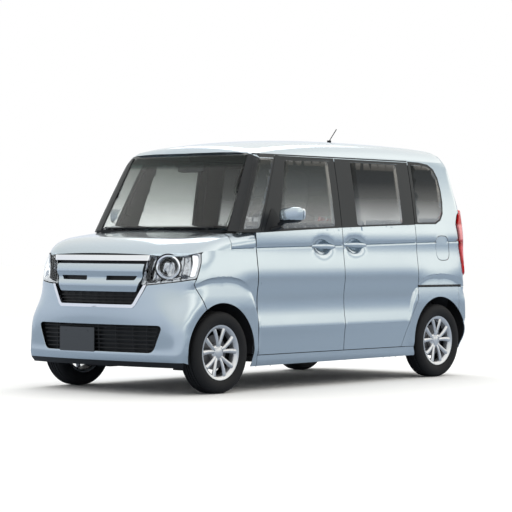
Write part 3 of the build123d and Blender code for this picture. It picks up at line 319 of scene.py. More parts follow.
def grid_faces(rows, cols, wrap_rows=False, wrap_cols=False):
    """Quads of a rows by cols grid of points, joined round where asked."""
    r = np.arange(rows if wrap_rows else rows - 1)
    c = np.arange(cols if wrap_cols else cols - 1)
    rr, cc = np.meshgrid(r, c, indexing="ij")
    r2, c2 = (rr + 1) % rows, (cc + 1) % cols
    return np.stack([rr * cols + cc, rr * cols + c2, r2 * cols + c2, r2 * cols + cc], -1).reshape(-1, 4)


def lathe(profile, axis="y", count=48):
    """A profile of (radius, along) pairs turned about the x or y axis.

    At the angle a, a pair gives radius cos(a) and radius sin(a) across the axis, and along on it.
    """
    radius, along = np.array(profile, float).T
    a = np.linspace(0, 2 * pi, count, endpoint=False)[:, None]
    across, up, along = radius * np.cos(a), radius * np.sin(a), np.tile(along, (count, 1))
    faces = grid_faces(count, len(profile), wrap_rows=True)
    if axis == "y":
        return np.stack([across, along, up], -1).reshape(-1, 3), faces[:, ::-1]
    return np.stack([along, across, up], -1).reshape(-1, 3), faces


def tube(path, radius, sides=12, flat=1.0, closed=False):
    """A tube along a path, flattened by flat; open ends are capped.

    A ring is the path's point plus radius (cos(a) across + flat sin(a) square), both square to the path.
    """
    p = np.array(path, float)
    tangent = np.roll(p, -1, 0) - np.roll(p, 1, 0) if closed else np.gradient(p, axis=0)
    tangent /= np.linalg.norm(tangent, axis=1)[:, None]
    up = np.array([0.0, 0, 1]) if abs(tangent[:, 2]).max() < 0.9 else np.array([1.0, 0.2, 0])
    across = np.cross(tangent, up)
    across /= np.linalg.norm(across, axis=1)[:, None]
    square = np.cross(across, tangent)
    r = np.broadcast_to(np.asarray(radius, float), (len(p),))[:, None, None]
    a = np.linspace(0, 2 * pi, sides, endpoint=False)[None, :, None]
    verts = p[:, None] + (np.cos(a) * across[:, None] + flat * np.sin(a) * square[:, None]) * r
    faces = [tuple(f) for f in grid_faces(len(p), sides, wrap_rows=closed, wrap_cols=True)[:, ::-1]]
    if not closed:
        last = (len(p) - 1) * sides
        faces += [tuple(range(sides)), tuple(range(last + sides - 1, last - 1, -1))]
    return verts.reshape(-1, 3), faces


def merge(meshes):
    """Several meshes with faces of any size as one."""
    verts, faces, start = [], [], 0
    for v, f in meshes:
        verts.append(np.asarray(v))
        faces += [tuple(int(i) + start for i in face) for face in f]
        start += len(v)
    return np.concatenate(verts), faces


def signed_power(a, n):
    """The nth power of the size of a, with the sign of a, as superellipsoids need."""
    return np.sign(a) * np.abs(a) ** n


def add_object(name, data):
    """A new object in the scene, at the origin."""
    obj = bpy.data.objects.new(name, data)
    bpy.context.scene.collection.objects.link(obj)
    return obj


def piece(name, mesh_data, material, body="shell", nodes=(), slot=None, wall=0.0, lining=None, edge=0.0):
    """Makes a finished object from millimetre points, with its wall, rounded rim, material and body."""
    verts, faces = mesh_data
    mesh = bpy.data.meshes.new(name)
    mesh.from_pydata((np.asarray(verts) * MM).tolist(), [], [tuple(int(i) for i in f) for f in faces])
    mesh.validate()
    mesh.polygons.foreach_set("use_smooth", [True] * len(mesh.polygons))
    mesh.set_sharp_from_angle(angle=SHARP)
    obj = add_object(name, mesh)
    mesh.materials.append(MATERIALS[material])
    if wall:
        mesh.materials.append(MATERIALS[lining or material])
        solid = obj.modifiers.new("wall", "SOLIDIFY")
        solid.thickness, solid.offset, solid.use_rim, solid.material_offset = wall * MM, -1.0, True, 1
    if edge:
        bevel = obj.modifiers.new("rim", "BEVEL")
        bevel.width, bevel.segments, bevel.limit_method = edge * MM, 2, "ANGLE"
        bevel.angle_limit, bevel.harden_normals = radians(50), True
    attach(obj, body)
    for node in nodes:
        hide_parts(node)
    return obj


def pair(name, mesh_data, material, body="shell", nodes=(), whole=None, **how):
    """A left piece and its mirror image; {} in a body's or node's name takes left or right.

    The left one also stands for the node named whole, which holds both sides.
    """
    made = [piece(f"{name}_{side}", on_side(mesh_data, turn), material, body.format(side),
                  [node.format(side) for node in nodes], **how) for side, turn in SIDES.items()]
    if whole:
        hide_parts(whole)
    return made


# ------------------------------------------------------------------ materials
MATERIALS, GROUPS = {}, {}


def feed(tree, node, inputs):
    """Gives each input of a node its number or colour, or a link where the value is another node's output."""
    for name, value in inputs.items():
        if isinstance(value, bpy.types.NodeSocket):
            tree.links.new(value, node.inputs[name])
        else:
            node.inputs[name].default_value = value


def add_node(tree, kind, inputs, **settings):
    """A new shader node with its settings and its inputs."""
    node = tree.nodes.new("ShaderNode" + kind)
    for name, value in settings.items():
        setattr(node, name, value)
    feed(tree, node, inputs)
    return node.outputs


def mix(tree, factor, a, b, how="MIX"):
    """A colour between a and b."""
    inputs = {"Factor": factor, "A": a, "B": b}
    return add_node(tree, "Mix", inputs, data_type="RGBA", blend_type=how)["Result"]


def ramp(tree, value, stops):
    """Colours that follow a value from 0 to 1 through (place, colour) stops."""
    out = add_node(tree, "ValToRGB", {"Fac": value})["Color"]
    elements = out.node.color_ramp.elements
    while len(elements) < len(stops):
        elements.new(0.5)
    for element, (place, color) in zip(elements, stops):
        element.position, element.color = place, (*color, 1)
    return out


def group(name, inputs, build):
    """A shader node group with named number inputs, whose Tone and Relief are worked out by build."""
    tree = bpy.data.node_groups.new(name, "ShaderNodeTree")
    for label, value in inputs.items():
        tree.interface.new_socket(label, in_out="INPUT", socket_type="NodeSocketFloat").default_value = value
    for label in ("Tone", "Relief"):
        tree.interface.new_socket(label, in_out="OUTPUT", socket_type="NodeSocketFloat")
    tone, relief = build(tree, tree.nodes.new("NodeGroupInput").outputs)
    feed(tree, tree.nodes.new("NodeGroupOutput"), {"Tone": tone, "Relief": relief})
    GROUPS[name] = tree


def build_grain(tree, given):
    """Two scales of noise on the object's own coordinates: a slow one for tone, a fine one for relief."""
    place = add_node(tree, "TexCoord", {})["Object"]
    slow = add_node(tree, "TexNoise", {"Vector": place, "Scale": 3.0, "Detail": 3.0})["Fac"]
    fine = add_node(tree, "TexNoise", {"Vector": place, "Scale": given["Fine Scale"], "Detail": 2.0})["Fac"]
    tone = add_node(tree, "MapRange", {"Value": slow, "From Min": 0.3, "From Max": 0.7,
                                       "To Min": given["Low"], "To Max": given["High"]})["Result"]
    return tone, fine


def build_weave(tree, given):
    """Crossed waves on the object's own coordinates: threads over and under, with a soft tone per thread."""
    place = add_node(tree, "TexCoord", {})["Object"]
    threads = [add_node(tree, "TexWave", {"Vector": place, "Scale": given["Threads"], "Distortion": 0.6},
                        bands_direction=axis)["Fac"] for axis in ("X", "Z")]
    relief = add_node(tree, "Math", dict(enumerate(threads)), operation="MAXIMUM")[0]
    cloud = add_node(tree, "TexNoise", {"Vector": place, "Scale": 14.0})["Fac"]
    tone = add_node(tree, "MapRange", {"Value": cloud, "To Min": 0.8, "To Max": 1.15})["Result"]
    return tone, relief


def new_material(name):
    """A material with its node tree and its Principled shader."""
    material = bpy.data.materials.new(name)
    material.use_nodes = True
    return material, material.node_tree, material.node_tree.nodes["Principled BSDF"]


def finish(name, color, metallic=0.0, rough=(0.4, 0.5), relief=0.0, fine=400.0, coat=0.0, weave=False,
           shade=None, tone=0.06, **sockets):
    """A Principled material whose colour, roughness and relief vary by the grain or weave group."""
    MATERIALS[name], tree, shader = new_material(name)
    if weave:
        pattern = add_node(tree, "Group", {"Threads": fine}, node_tree=GROUPS["weave"])
        vary = pattern["Tone"]
    else:
        pattern = add_node(tree, "Group", {"Fine Scale": fine, "Low": rough[0], "High": rough[1]},
                           node_tree=GROUPS["grain"])
        span = {"Value": pattern["Relief"], "To Min": 1 - tone, "To Max": 1 + tone}
        vary = add_node(tree, "MapRange", span)["Result"]
    base = shade(tree) if shade else (*color, 1)
    feed(tree, shader, {"Base Color": mix(tree, 1.0, base, vary, "MULTIPLY") if tone else base,
                        "Roughness": rough[0] if weave else pattern["Tone"], "Metallic": metallic,
                        "Coat Weight": coat, "Coat Roughness": 0.03})
    if relief:
        bump = {"Strength": 1.0, "Distance": relief * MM, "Height": pattern["Relief"]}
        feed(tree, shader, {"Normal": add_node(tree, "Bump", bump)["Normal"]})
    feed(tree, shader, {socket.replace("_", " "): value for socket, value in sockets.items()})


def by_height(*stops):
    """A colour that follows the object's own height, in metres, through the given stops."""
    low, high = stops[0][0], stops[-1][0]

    def shade(tree):
        """The ramp's colour in one material's tree."""
        place = add_node(tree, "TexCoord", {})["Object"]
        z = add_node(tree, "SeparateXYZ", {"Vector": place})["Z"]
        share = add_node(tree, "MapRange", {"Value": z, "From Min": low, "From Max": high})["Result"]
        return ramp(tree, share, [((at - low) / (high - low), color) for at, color in stops])
    return shade


def glass(name, color, *stops, through=1.0, bend=1.3):
    """A clear finish that lets through the given share of light, tinted by height through the stops."""
    finish(name, color, rough=(0.0, 0.01), fine=20.0, tone=0.0, Transmission_Weight=through, IOR=bend,
           shade=by_height(*stops) if stops else None)


def make_materials():
    """Takes over the chosen sizes, then builds the shared groups and every finish."""
    look = bpy.context.scene.wagon_look
    SIZES.update({name: getattr(look, name) / MM for name in SIZES})
    group("grain", {"Fine Scale": 400.0, "Low": 0.4, "High": 0.5}, build_grain)
    group("weave", {"Threads": 60.0}, build_weave)
    finish("body paint", look.paint, metallic=0.88, rough=(0.17, 0.2), fine=1500.0, coat=0.8, tone=0.05)
    finish("inner skin", [c * 0.55 for c in look.paint], metallic=0.1, rough=(0.5, 0.6), fine=300.0)
    finish("pillar black", (0.014, 0.016, 0.018), rough=(0.3, 0.36), fine=300.0, Specular_IOR_Level=0.35)
    finish("black plastic", (0.012, 0.013, 0.015), rough=(0.42, 0.52), relief=0.25, fine=700.0,
           Specular_IOR_Level=0.3)
    finish("door trim", (0.075, 0.068, 0.06), rough=(0.6, 0.7), relief=0.3, fine=500.0)
    finish("headlining", (0.33, 0.32, 0.30), rough=(0.8, 0.9), relief=0.3, fine=900.0)
    finish("dash", (0.05, 0.044, 0.036), rough=(0.5, 0.6), relief=0.3, fine=600.0)
    finish("chrome", (0.88, 0.88, 0.9), metallic=1.0, rough=(0.05, 0.08), fine=60.0, tone=0.01)
    finish("alloy", (0.66, 0.67, 0.69), metallic=0.85, rough=(0.26, 0.32), fine=500.0, coat=0.7, tone=0.03)
    finish("tyre rubber", look.rubber, rough=(0.68, 0.78), relief=0.3, fine=350.0, Specular_IOR_Level=0.25)
    finish("underbody", (0.018, 0.018, 0.02), rough=(0.7, 0.85), relief=0.5, fine=120.0)
    finish("cast metal", (0.2, 0.2, 0.21), metallic=0.8, rough=(0.45, 0.6), relief=0.4, fine=200.0)
    finish("seat cloth", look.cloth, rough=(0.85, 0.9), relief=0.7, fine=180.0, weave=True, Sheen_Weight=0.3)
    finish("plate", (0.048, 0.052, 0.058), rough=(0.35, 0.42), fine=200.0)
    # Side and dark glass: painted reflection, light low on each pane and dark toward its top.
    glass("side glass", (0.6, 0.62, 0.61), (1.11, (0.9, 0.91, 0.91)), (1.2, (0.78, 0.79, 0.79)),
          (1.34, (0.42, 0.44, 0.43)), (1.62, (0.07, 0.08, 0.07)), through=0.8)
    glass("dark glass", (0.20, 0.21, 0.22), (1.14, (0.86, 0.87, 0.87)), (1.22, (0.7, 0.71, 0.71)),
          (1.36, (0.16, 0.165, 0.165)), (1.47, (0.04, 0.042, 0.042)), (1.62, (0.02, 0.022, 0.02)),
          through=0.55)
    glass("screen glass", (0.9, 0.93, 0.92), (1.10, (0.92, 0.95, 0.94)), (1.545, (0.92, 0.95, 0.94)),
          (1.575, (0.16, 0.26, 0.24)), (1.66, (0.05, 0.11, 0.10)))
    glass("lamp cover", (0.97, 0.98, 0.99), bend=1.2)
    finish("lamp silver", (0.42, 0.43, 0.45), metallic=1.0, rough=(0.1, 0.22), relief=2.0, fine=55.0,
           tone=0.3)
    finish("lamp red", (0.6, 0.01, 0.015), rough=(0.2, 0.24), fine=120.0, coat=0.3,
           shade=by_height((0.76, (0.5, 0.0, 0.002)), (0.84, (0.82, 0.005, 0.008)), (0.93, (0.95, 0.1, 0.1)),
                           (1.0, (0.9, 0.12, 0.12)), (1.026, (0.45, 0.0, 0.002)), (1.042, (0.45, 0.0, 0.002)),
                           (1.06, (1.0, 0.34, 0.34)), (1.16, (1.0, 0.32, 0.32)), (1.18, (0.6, 0.0, 0.002)),
                           (1.29, (0.65, 0.0, 0.002))))
    finish("mirror glass", (0.85, 0.87, 0.88), metallic=1.0, rough=(0.01, 0.02), fine=20.0, tone=0.0)


# ------------------------------------------------------------------ outlines on the unrolled body
def arc(centre_x, start, stop, count=26):
    """Points along a wheel arch between two angles in degrees, as unrolled places."""
    a = np.radians(np.linspace(start, stop, count))
    x = centre_x + ARCH_R * np.cos(a)
    return [(place_of_x(px), float(z)) for px, z in zip(x, ARCH_Z + ARCH_R * np.sin(a))]


def on_belt(*places, lift=0):
    """Points at the given x along the side windows' lower edge."""
    heights = np.interp(places, [-1322, -845, 0, 778, 1010], [1170, 1158, 1129, 1093, 1086])
    return [(x, float(z) + lift) for x, z in zip(places, heights)]


def turned_over(points):
    """The points on the other side of v = 0, in reverse order."""
    return [(u, -v) for u, v in reversed(points)]


def mirror_back(points, middle):
    """The points on the other side of a line of constant u, in reverse order."""
    return [(2 * middle - u, v) for u, v in reversed(points)]


def centred(middle, half):
    """A symmetric outline: half gives (distance from the middle, height) pairs."""
    return [(middle + d, z) for d, z in half] + [(middle - d, z) for d, z in reversed(half)]


def line_rows(line_z, x_from, x_to, gap, offsets):
    """Rows of extra points that follow a line along the body, at the given distances from it."""
    x = np.arange(x_from, x_to, gap)
    return np.concatenate([np.stack([x, line_z(x) + d], 1) for d in offsets])


def flare_rows(centre):
    """Rows of extra points along the edge of the flare round an arch: |x|^3 + |z|^3 = constant."""
    a = np.linspace(0.02, pi - 0.02, 64)
    x, z = signed_power(np.cos(a), 2 / 3), np.sin(a) ** (2 / 3)
    return np.concatenate([np.stack([centre + FLARE_LONG * d * x, ARCH_Z + FLARE_HIGH * d * z], 1)
                           for d in (0.88, 0.92, 0.955, 0.975, 0.988, 1.0, 1.012, 1.025, 1.045)])


def door_rows(x_from, x_to, x0, z0):
    """Extra points of a door: along the groove and the lower crease, and over the handle's hollow."""
    rx, rz, gap = 112, 70, 9.0
    grid = np.meshgrid(np.arange(x0 - rx, x0 + rx, gap), np.arange(z0 - rz, z0 + rz, gap))
    patch = np.stack(grid, -1).reshape(-1, 2)
    patch = patch[((patch[:, 0] - x0) / rx) ** 2 + ((patch[:, 1] - z0) / rz) ** 2 < 1]
    x = GROOVE_ROWS[:, 0]
    groove = GROOVE_ROWS[(x > x_from) & (x < x_to) & (np.abs(x - x0) > rx + 2)]
    crease = line_rows(lambda x: 434 + 0 * x, x_from + 12, x_to - 12, 26.0, (-12, -4, 4, 14, 30))
    return [groove, crease, patch, REAR_FLARE_ROWS]


HOOD_LINE = [(1348, 966), (1093, 974)]
HOOD_ROLL, HOOD_EDGE = radians(74.5), 0.268  # how far the hood rolls over the nose, and where its edge runs
HOOD_FRAME = dict(x_low=1000.0, x_high=1480.0, y0=520.0, z0=900.0, r=150.0)
ROOF_FRAME = dict(x_low=-1400.0, x_high=700.0, y0=480.0, z0=1600.0, r=120.0)
CHROME_LIMIT_X, HANDLE_LIMIT_Y = 1697.3, 737.3  # chrome and handles stay within the body's length and width
MIRROR_SPLIT_Z = 1182  # the mirrors' shells are black below it
LAMP = [(1890, 738), (1840, 946), (1690, 950), (1520, 951), (1379, 949), (1396, 895), (1446, 782),
        (1600, 762), (1750, 748)]
TAIL_LAMP = [(-1650, 757), (-1604, 800), (-1586, 900), (-1580, 1000), (-1578, 1180), (-1600, 1245),
             (-1640, 1284), (-1698, 1290), (-1698, 757)]
FRONT_GLASS = rounded([(572, 1121), (-61, 1142), (-61, 1611), (427, 1606)], 26)
REAR_GLASS = rounded([(-327, 1152), (-885, 1171), (-885, 1612), (-327, 1614)], 26)
FRONT_CORNER_GLASS = rounded([(960, 1112), (790, 1122), (550, 1612), (700, 1612)], 22)
REAR_CORNER_EDGE = [(-1043, 1166), (-1312, 1170), (-1380, 1200), (-1418, 1250), (-1431, 1340), (-1428, 1430),
                    (-1408, 1530), (-1366, 1594), (-1300, 1628), (-1190, 1641), (-1043, 1644)]
REAR_CORNER_GLASS = rounded([(-1076, 1180), (-1308, 1184), (-1368, 1210), (-1402, 1258), (-1413, 1340),
                             (-1410, 1425), (-1390, 1520), (-1352, 1578), (-1296, 1608), (-1190, 1622),
                             (-1076, 1625)], 14)
LID_X, LID_Z, LID_HALF_X, LID_HALF_Z, LID_GAP = -1377, 987, 83, 92, 4  # the fuel lid and the gap round it
GROOVE_ROWS = line_rows(groove_z, -1640, 1350, 22.0, (-14, -6, -2.4, -0.6, 1.2, 3.2, 5.6, 10, 20))
FRONT_FLARE_ROWS, REAR_FLARE_ROWS = flare_rows(FRONT_AXLE_X), flare_rows(REAR_AXLE_X)
SIDE, NOSE, CABIN = around(side_form), around(nose_form), around(cabin_form)


def lid_line(grow):
    """The fuel lid's four corners, moved out by grow."""
    x, z = LID_HALF_X + grow, LID_HALF_Z + grow
    return [(LID_X + x, LID_Z - z), (LID_X + x, LID_Z + z), (LID_X - x, LID_Z + z), (LID_X - x, LID_Z - z)]


# ------------------------------------------------------------------ pieces
def make_fenders():
    """Make the front fenders, from sill to hood line round the wheel arch."""
    outline = ([(835, 172), (893, 172)] + arc(FRONT_AXLE_X, 199.7, 61)
               + [(1464, 744), (1442, 778), (1392, 893), (1375, 947)] + HOOD_LINE
               + [(1088.5, 974), (1088.5, 1083), (1010, 1086), (835, 1091)])
    pair("fender", lay(NOSE, outline, fine=[GROOVE_ROWS, FRONT_FLARE_ROWS]), "body paint", whole="fenders",
         wall=4, lining="underbody", edge=2.2)


def make_hood():
    """Make the clamshell hood: its top sheet rolls down over the nose and both sides.

    Round the corner the edge leans by phi forward and theta outward with cos(phi) cos(theta) = HOOD_EDGE.
    """
    phi = np.linspace(0, HOOD_ROLL, 24)
    theta = np.arccos(np.minimum(1, HOOD_EDGE / np.cos(phi)))
    x0, y0, r = HOOD_FRAME["x_high"], HOOD_FRAME["y0"], HOOD_FRAME["r"]
    half = [(1093, 700.5), (1348, 706.5)] + [(x0 + r * p, y0 + r * t) for p, t in zip(phi, theta)]
    mesh = lay(over(nose_form, **HOOD_FRAME), half + turned_over(half), gap=24.0, flip=False)
    piece("hood_skin", mesh, "body paint", "hood", ["hood"], wall=16, lining="inner skin", edge=2.5)


def make_doors():
    """Make the front and sliding doors: painted lower skins, black window frames, panes."""
    skin, rim = dict(wall=46, lining="door trim", edge=2.2), dict(wall=34, lining="door trim", edge=2.0)
    lower = [(826, 250), (-137, 250)] + on_belt(-137, 300, 778, 826)
    pair("front_door_skin", lay(SIDE, lower, fine=door_rows(-137, 826, 92, 993)), "body paint",
         "front_door_{}", ["front_door_{}"], **skin)
    upper = on_belt(774, 300, -137, lift=2) + [(-137, 1637), (521, 1637)]
    pair("front_door_frame", lay(SIDE, upper, [FRONT_GLASS], gap=40), "pillar black", "front_door_{}", **rim)
    pair("front_door_pane", lay(SIDE, FRONT_GLASS, gap=45), "side glass", "front_door_{}",
         ["front_door_glass_{}"], wall=3.5)
    lower = [(-143, 250)] + on_belt(-143, -590, -1037) + [(-1037, 602), (-937, 455), (-837, 250)]
    pair("sliding_door_skin", lay(SIDE, lower, fine=door_rows(-1037, -143, -286, 1001)), "body paint",
         whole="sliding_doors", **skin)
    upper = on_belt(-143, lift=2) + [(-143, 1637), (-1037, 1637)] + on_belt(-1037, -590, lift=2)
    pair("sliding_door_frame", lay(SIDE, upper, [REAR_GLASS], gap=40), "pillar black", **rim)
    pair("sliding_door_pane", lay(SIDE, REAR_GLASS, gap=45), "dark glass", whole="side_glass", wall=3.5)


def make_sides():
    """Make the rear quarters, fuel lid, sills, pillars and corner windows."""
    quarter = ([(-1043, 604), (-942, 456), (-841, 250), (-990, 248)] + arc(REAR_AXLE_X, -6.5, 137)
               + [(place_of_x(-1562), 689), (-1701, 689), (-1701, 753), (-1650, 753), (-1600, 797),
                  (-1582, 900), (-1576, 1000), (-1574, 1182), (-1597, 1249), (-1639, 1288), (-1701, 1295),
                  (-1701, 1700), (-1640, 1700), (-1540, 1646), (-1043, 1648)] + REAR_CORNER_EDGE[::-1])
    rows = [GROOVE_ROWS[GROOVE_ROWS[:, 0] < -1043], REAR_FLARE_ROWS]
    for side, turn, holes in (("left", 1, [rounded(lid_line(LID_GAP), 66)]), ("right", -1, ())):
        piece(f"quarter_{side}", on_side(lay(CABIN, quarter, holes, fine=rows), turn), "body paint",
              nodes=[f"side_frame_{side}"], wall=5, lining="door trim", edge=2.2)
    lid = lay(CABIN, rounded(lid_line(0), 62), gap=22)
    piece("fuel_lid_skin", lid, "body paint", "fuel_lid", ["fuel_lid"], wall=5, edge=1.8)
    sill = [(831, 172), (831, 245), (-986, 245), (-1003, 205), (-1010, 178)]
    pair("sill", lay(SIDE, sill), "body paint", wall=12, lining="underbody", edge=2.0)
    front = on_belt(992, lift=12) + on_belt(778, lift=2) + [(524, 1637), (524, 1648), (716, 1648)]
    pair("front_pillar", lay(CABIN, front, [FRONT_CORNER_GLASS], gap=30), "pillar black", wall=30,
         lining="door trim", edge=2.0)
    face = [(612, 1100), (698, 1100), (660, 1375), (612, 1648), (548, 1650)]
    pair("pillar_face", lay(ahead(cabin_form), face, gap=22, flip=False, shift=(-1, 0, 0)), "pillar black",
         wall=14, lining="door trim", edge=2.0)
    pair("front_corner_pane", lay(CABIN, FRONT_CORNER_GLASS, gap=30), "side glass", wall=3.5)
    pair("rear_pillar", lay(CABIN, REAR_CORNER_EDGE, [REAR_CORNER_GLASS], gap=30), "pillar black", wall=20,
         lining="door trim", edge=1.5)
    pair("rear_corner_pane", lay(CABIN, REAR_CORNER_GLASS, gap=40), "dark glass", wall=3.5)
    end = place_of_x(-1600)
    rail = [(-1046, 690), (end, 688), (end, 706), (-1046, 708)]
    pair("door_rail", lay(CABIN, rail, gap=20, shift=(0, 1.2, 0)), "black plastic", wall=4)
    top = [(720, 1640), (524, 1640), (-1037, 1640), (-1037, 1649), (524, 1649), (716, 1651)]
    pair("top_seal", lay(CABIN, top, gap=30), "black plastic", wall=30)


def make_roof():
    """Make the roof with its side rails, rolled down to the windscreen and over both sides."""
    half = [(815, 0), (808, 200), (790, 380), (770, 500), (742, 585), (716, 640), (690, 655), (500, 655),
            (-1000, 655), (-1500, 655), (-1540, 600), (-1543, 300), (-1543, 0)]
    mesh = lay(over(cabin_form, **ROOF_FRAME), half + turned_over(half[1:-1]), gap=32.0, flip=False)
    piece("roof_skin", mesh, "body paint", nodes=["roof"], wall=22, lining="headlining", edge=2.0)


def make_screen():
    """Make the windscreen on its bowed plane, with a black edge band."""
    def plane(u, v):
        """Points of the outer face, a little behind the screen's plane."""
        return np.stack([screen_x(u, v) - 4, u, v], 1)
    outer = rounded(centred(0, [(628, 1104), (556, 1650)]), 30)
    clear = rounded(centred(0, [(600, 1118), (531, 1640)]), 34)
    pane = lay(plane, outer, gap=40, flip=False)
    piece("windscreen_pane", pane, "screen glass", nodes=["windscreen"], wall=4)
    band = lay(plane, outer, [clear], gap=30, flip=False, shift=(-7, 0, 0))
    piece("windscreen_band", band, "black plastic", wall=1)


def make_tail():
    """Make the tailgate, its window, tail lamps, rear bumper and the blank plate."""
    edge = [(-1960, 1733), (-1760, 1716), (-1706, 1690), (-1706, 696)]
    gate = [(TAIL_MID, 1737)] + edge + [(TAIL_MID, 696)] + mirror_back(edge, TAIL_MID)
    window = rounded(centred(TAIL_MID, [(492, 1150), (458, 1572)]), 46)
    border = rounded(centred(TAIL_MID, [(520, 1126), (488, 1600)]), 52)
    dip = rounded(centred(TAIL_MID, [(205, 850), (190, 1046)]), 26)
    piece("tailgate_skin", lay(CABIN, gate, [border, dip]), "body paint", "tailgate", ["tailgate"], wall=40,
          lining="door trim", edge=2.4)
    piece("tailgate_surround", lay(CABIN, border, [window], gap=40), "pillar black", "tailgate", wall=26)
    piece("tailgate_pane", lay(CABIN, window, gap=40), "dark glass", "tailgate", ["tailgate_glass"], wall=3.5)
    piece("plate_recess", lay(CABIN, dip, gap=30, shift=(22, 0, 0)), "body paint", "tailgate", wall=3)
    verts, faces = lay(CABIN, rounded(centred(TAIL_MID, [(165, 868), (165, 1033)]), 6), gap=40)
    verts[:, 0] = verts[:, 0].mean() + 10
    piece("rear_plate", (verts, faces), "plate", "tailgate", wall=2)
    pair("tail_lamp_cover", lay(CABIN, TAIL_LAMP, gap=14, rim=7, shift=(-8, 14, 0)), "lamp red",
         whole="tail_lamps", wall=16, edge=3.0)
    half = [(place_of_x(-1564), 686)] + arc(REAR_AXLE_X, 138, 188, 16) + [(-1604, 212), (-1700, 214)]
    piece("rear_bumper_skin", lay(CABIN, half + mirror_back(half, TAIL_MID), shift=(0.8, 0, 0)), "body paint",
          nodes=["rear_bumper"], wall=5, lining="underbody", edge=2.4)
    reflector = rounded([(-1830, 330), (-1830, 366), (-1990, 366), (-1990, 330)], 8)
    pair("rear_reflector", lay(CABIN, reflector, gap=20, shift=(-0.4, 0, 0)), "lamp red", wall=6, edge=1.5)
    wiper = tube([(-1686, 0, 1130), (-1688, -60, 1150), (-1686, -200, 1185), (-1682, -330, 1200)],
                 [10, 8, 7, 5], 10)
    piece("rear_wiper", wiper, "black plastic", "tailgate")


def strand(y, z, count, sink, *size, **how):
    """A bar of a mesh over the nose, from one pair of y and z to the other, sunk behind the skin."""
    path = NOSE(NOSE_MID - np.linspace(*y, count), np.linspace(*z, count)) - [sink, 0, 0]
    return tube(path, *size, **how)


def make_front():
    """Make the front bumper, lower lip, grille panel, meshes and chrome."""
    left = ([(1750, 742), (1600, 756), (1449, 775), (1468, 742)] + arc(FRONT_AXLE_X, 60, -13, 22)
            + [(1560, 222), (1700, 222), (NOSE_MID, 222)])
    outline = (left + mirror_back(left[:-1], NOSE_MID)
               + centred(NOSE_MID, [(450, 735), (364, 606), (342, 586)]))
    low = rounded(centred(NOSE_MID, [(-600, 467), (-522, 284)]), 46)
    piece("front_bumper_skin", lay(NOSE, outline, [low], gap=24), "body paint", nodes=["front_bumper"],
          wall=5, lining="underbody", edge=2.6)
    lip = [(NOSE_MID + d, z) for z, places in ((186, (-729, 0, 729)), (219, (729, 0, -729))) for d in places]
    piece("front_lip", lay(NOSE, lip, gap=30), "black plastic", wall=30, edge=3)
    panel_line = rounded(centred(NOSE_MID, [(-413, 878), (-404, 800), (-358, 690)]), 12)
    slots = [rounded([(NOSE_MID - side * y, z) for y, z in ((92, 766), (336, 768), (358, 797), (92, 797))], 7)
             for side in (1, -1)]
    verts, faces = lay(NOSE, panel_line, slots, gap=12, rim=7)
    swell = curve([684, 700, 735, 752, 764, 799, 812, 840, 866, 880], [-9, -3, 3, 2, -5, -7, 0, 3, -1, -7],
                  verts[:, 2])
    verts[:, 0] += swell
    piece("grille_panel_skin", (verts, faces), "body paint", nodes=["grille_panel"], wall=24,
          lining="black plastic", edge=4.0)
    back = centred(NOSE_MID, [(-462, 944), (-446, 800), (-432, 728), (-345, 590)])
    piece("grille_backing", lay(NOSE, back, gap=30, shift=(-38, 0, 0)), "black plastic", nodes=["grilles"],
          wall=6)
    bar = rounded(centred(NOSE_MID, [(-462, 937), (-448, 900)]), 5)
    piece("chrome_bar", lay(NOSE, bar, gap=12, rim=8), "chrome", nodes=["front_chrome"], wall=18, edge=5.0)
    trim = (centred(NOSE_MID, [(-448, 737), (-420, 737), (-344, 614), (-330, 604)])
            + centred(NOSE_MID, [(364, 602), (340, 583)]))
    verts, faces = lay(NOSE, trim, gap=10, rim=7, shift=(4, 0, 0))
    verts[:, 0] = np.minimum(verts[:, 0], CHROME_LIMIT_X)
    piece("chrome_trim", (verts, faces), "chrome", wall=20, edge=4.0)
    rows = [strand((-362, 362), (z, z), 50, 24, 4.0, 8) for z in (618, 640, 662)]
    rows += [strand((y, y), (600, 690), 6, 28, 2.5, 6) for y in np.linspace(-300, 300, 9)]
    piece("upper_mesh", merge(rows), "black plastic")
    rows = []
    for z in (308, 337, 366, 395, 424, 450):
        half = 505 + (z - 284) * 0.3
        rows.append(strand((-half, half), (z, z), 70, 20, 6.0, 8, flat=0.8))
    rows += [strand((y, y), (288, 464), 8, 24, 5.0, 8) for y in (-400, -250, 20, 180, 330, 450)]
    piece("lower_mesh", merge(rows), "black plastic")
    low_back = rounded(centred(NOSE_MID, [(-662, 486), (-585, 262)]), 46)
    piece("lower_backing", lay(NOSE, low_back, gap=30, shift=(-44, 0, 0)), "black plastic", wall=4)


def turned(mesh_data, angle, move):
    """A mesh turned about the upright axis by an angle in degrees, then moved."""
    verts, faces = mesh_data
    c, s = cos(radians(angle)), sin(radians(angle))
    return np.asarray(verts) @ np.array([[c, s, 0], [-s, c, 0], [0, 0, 1]]) + move, faces


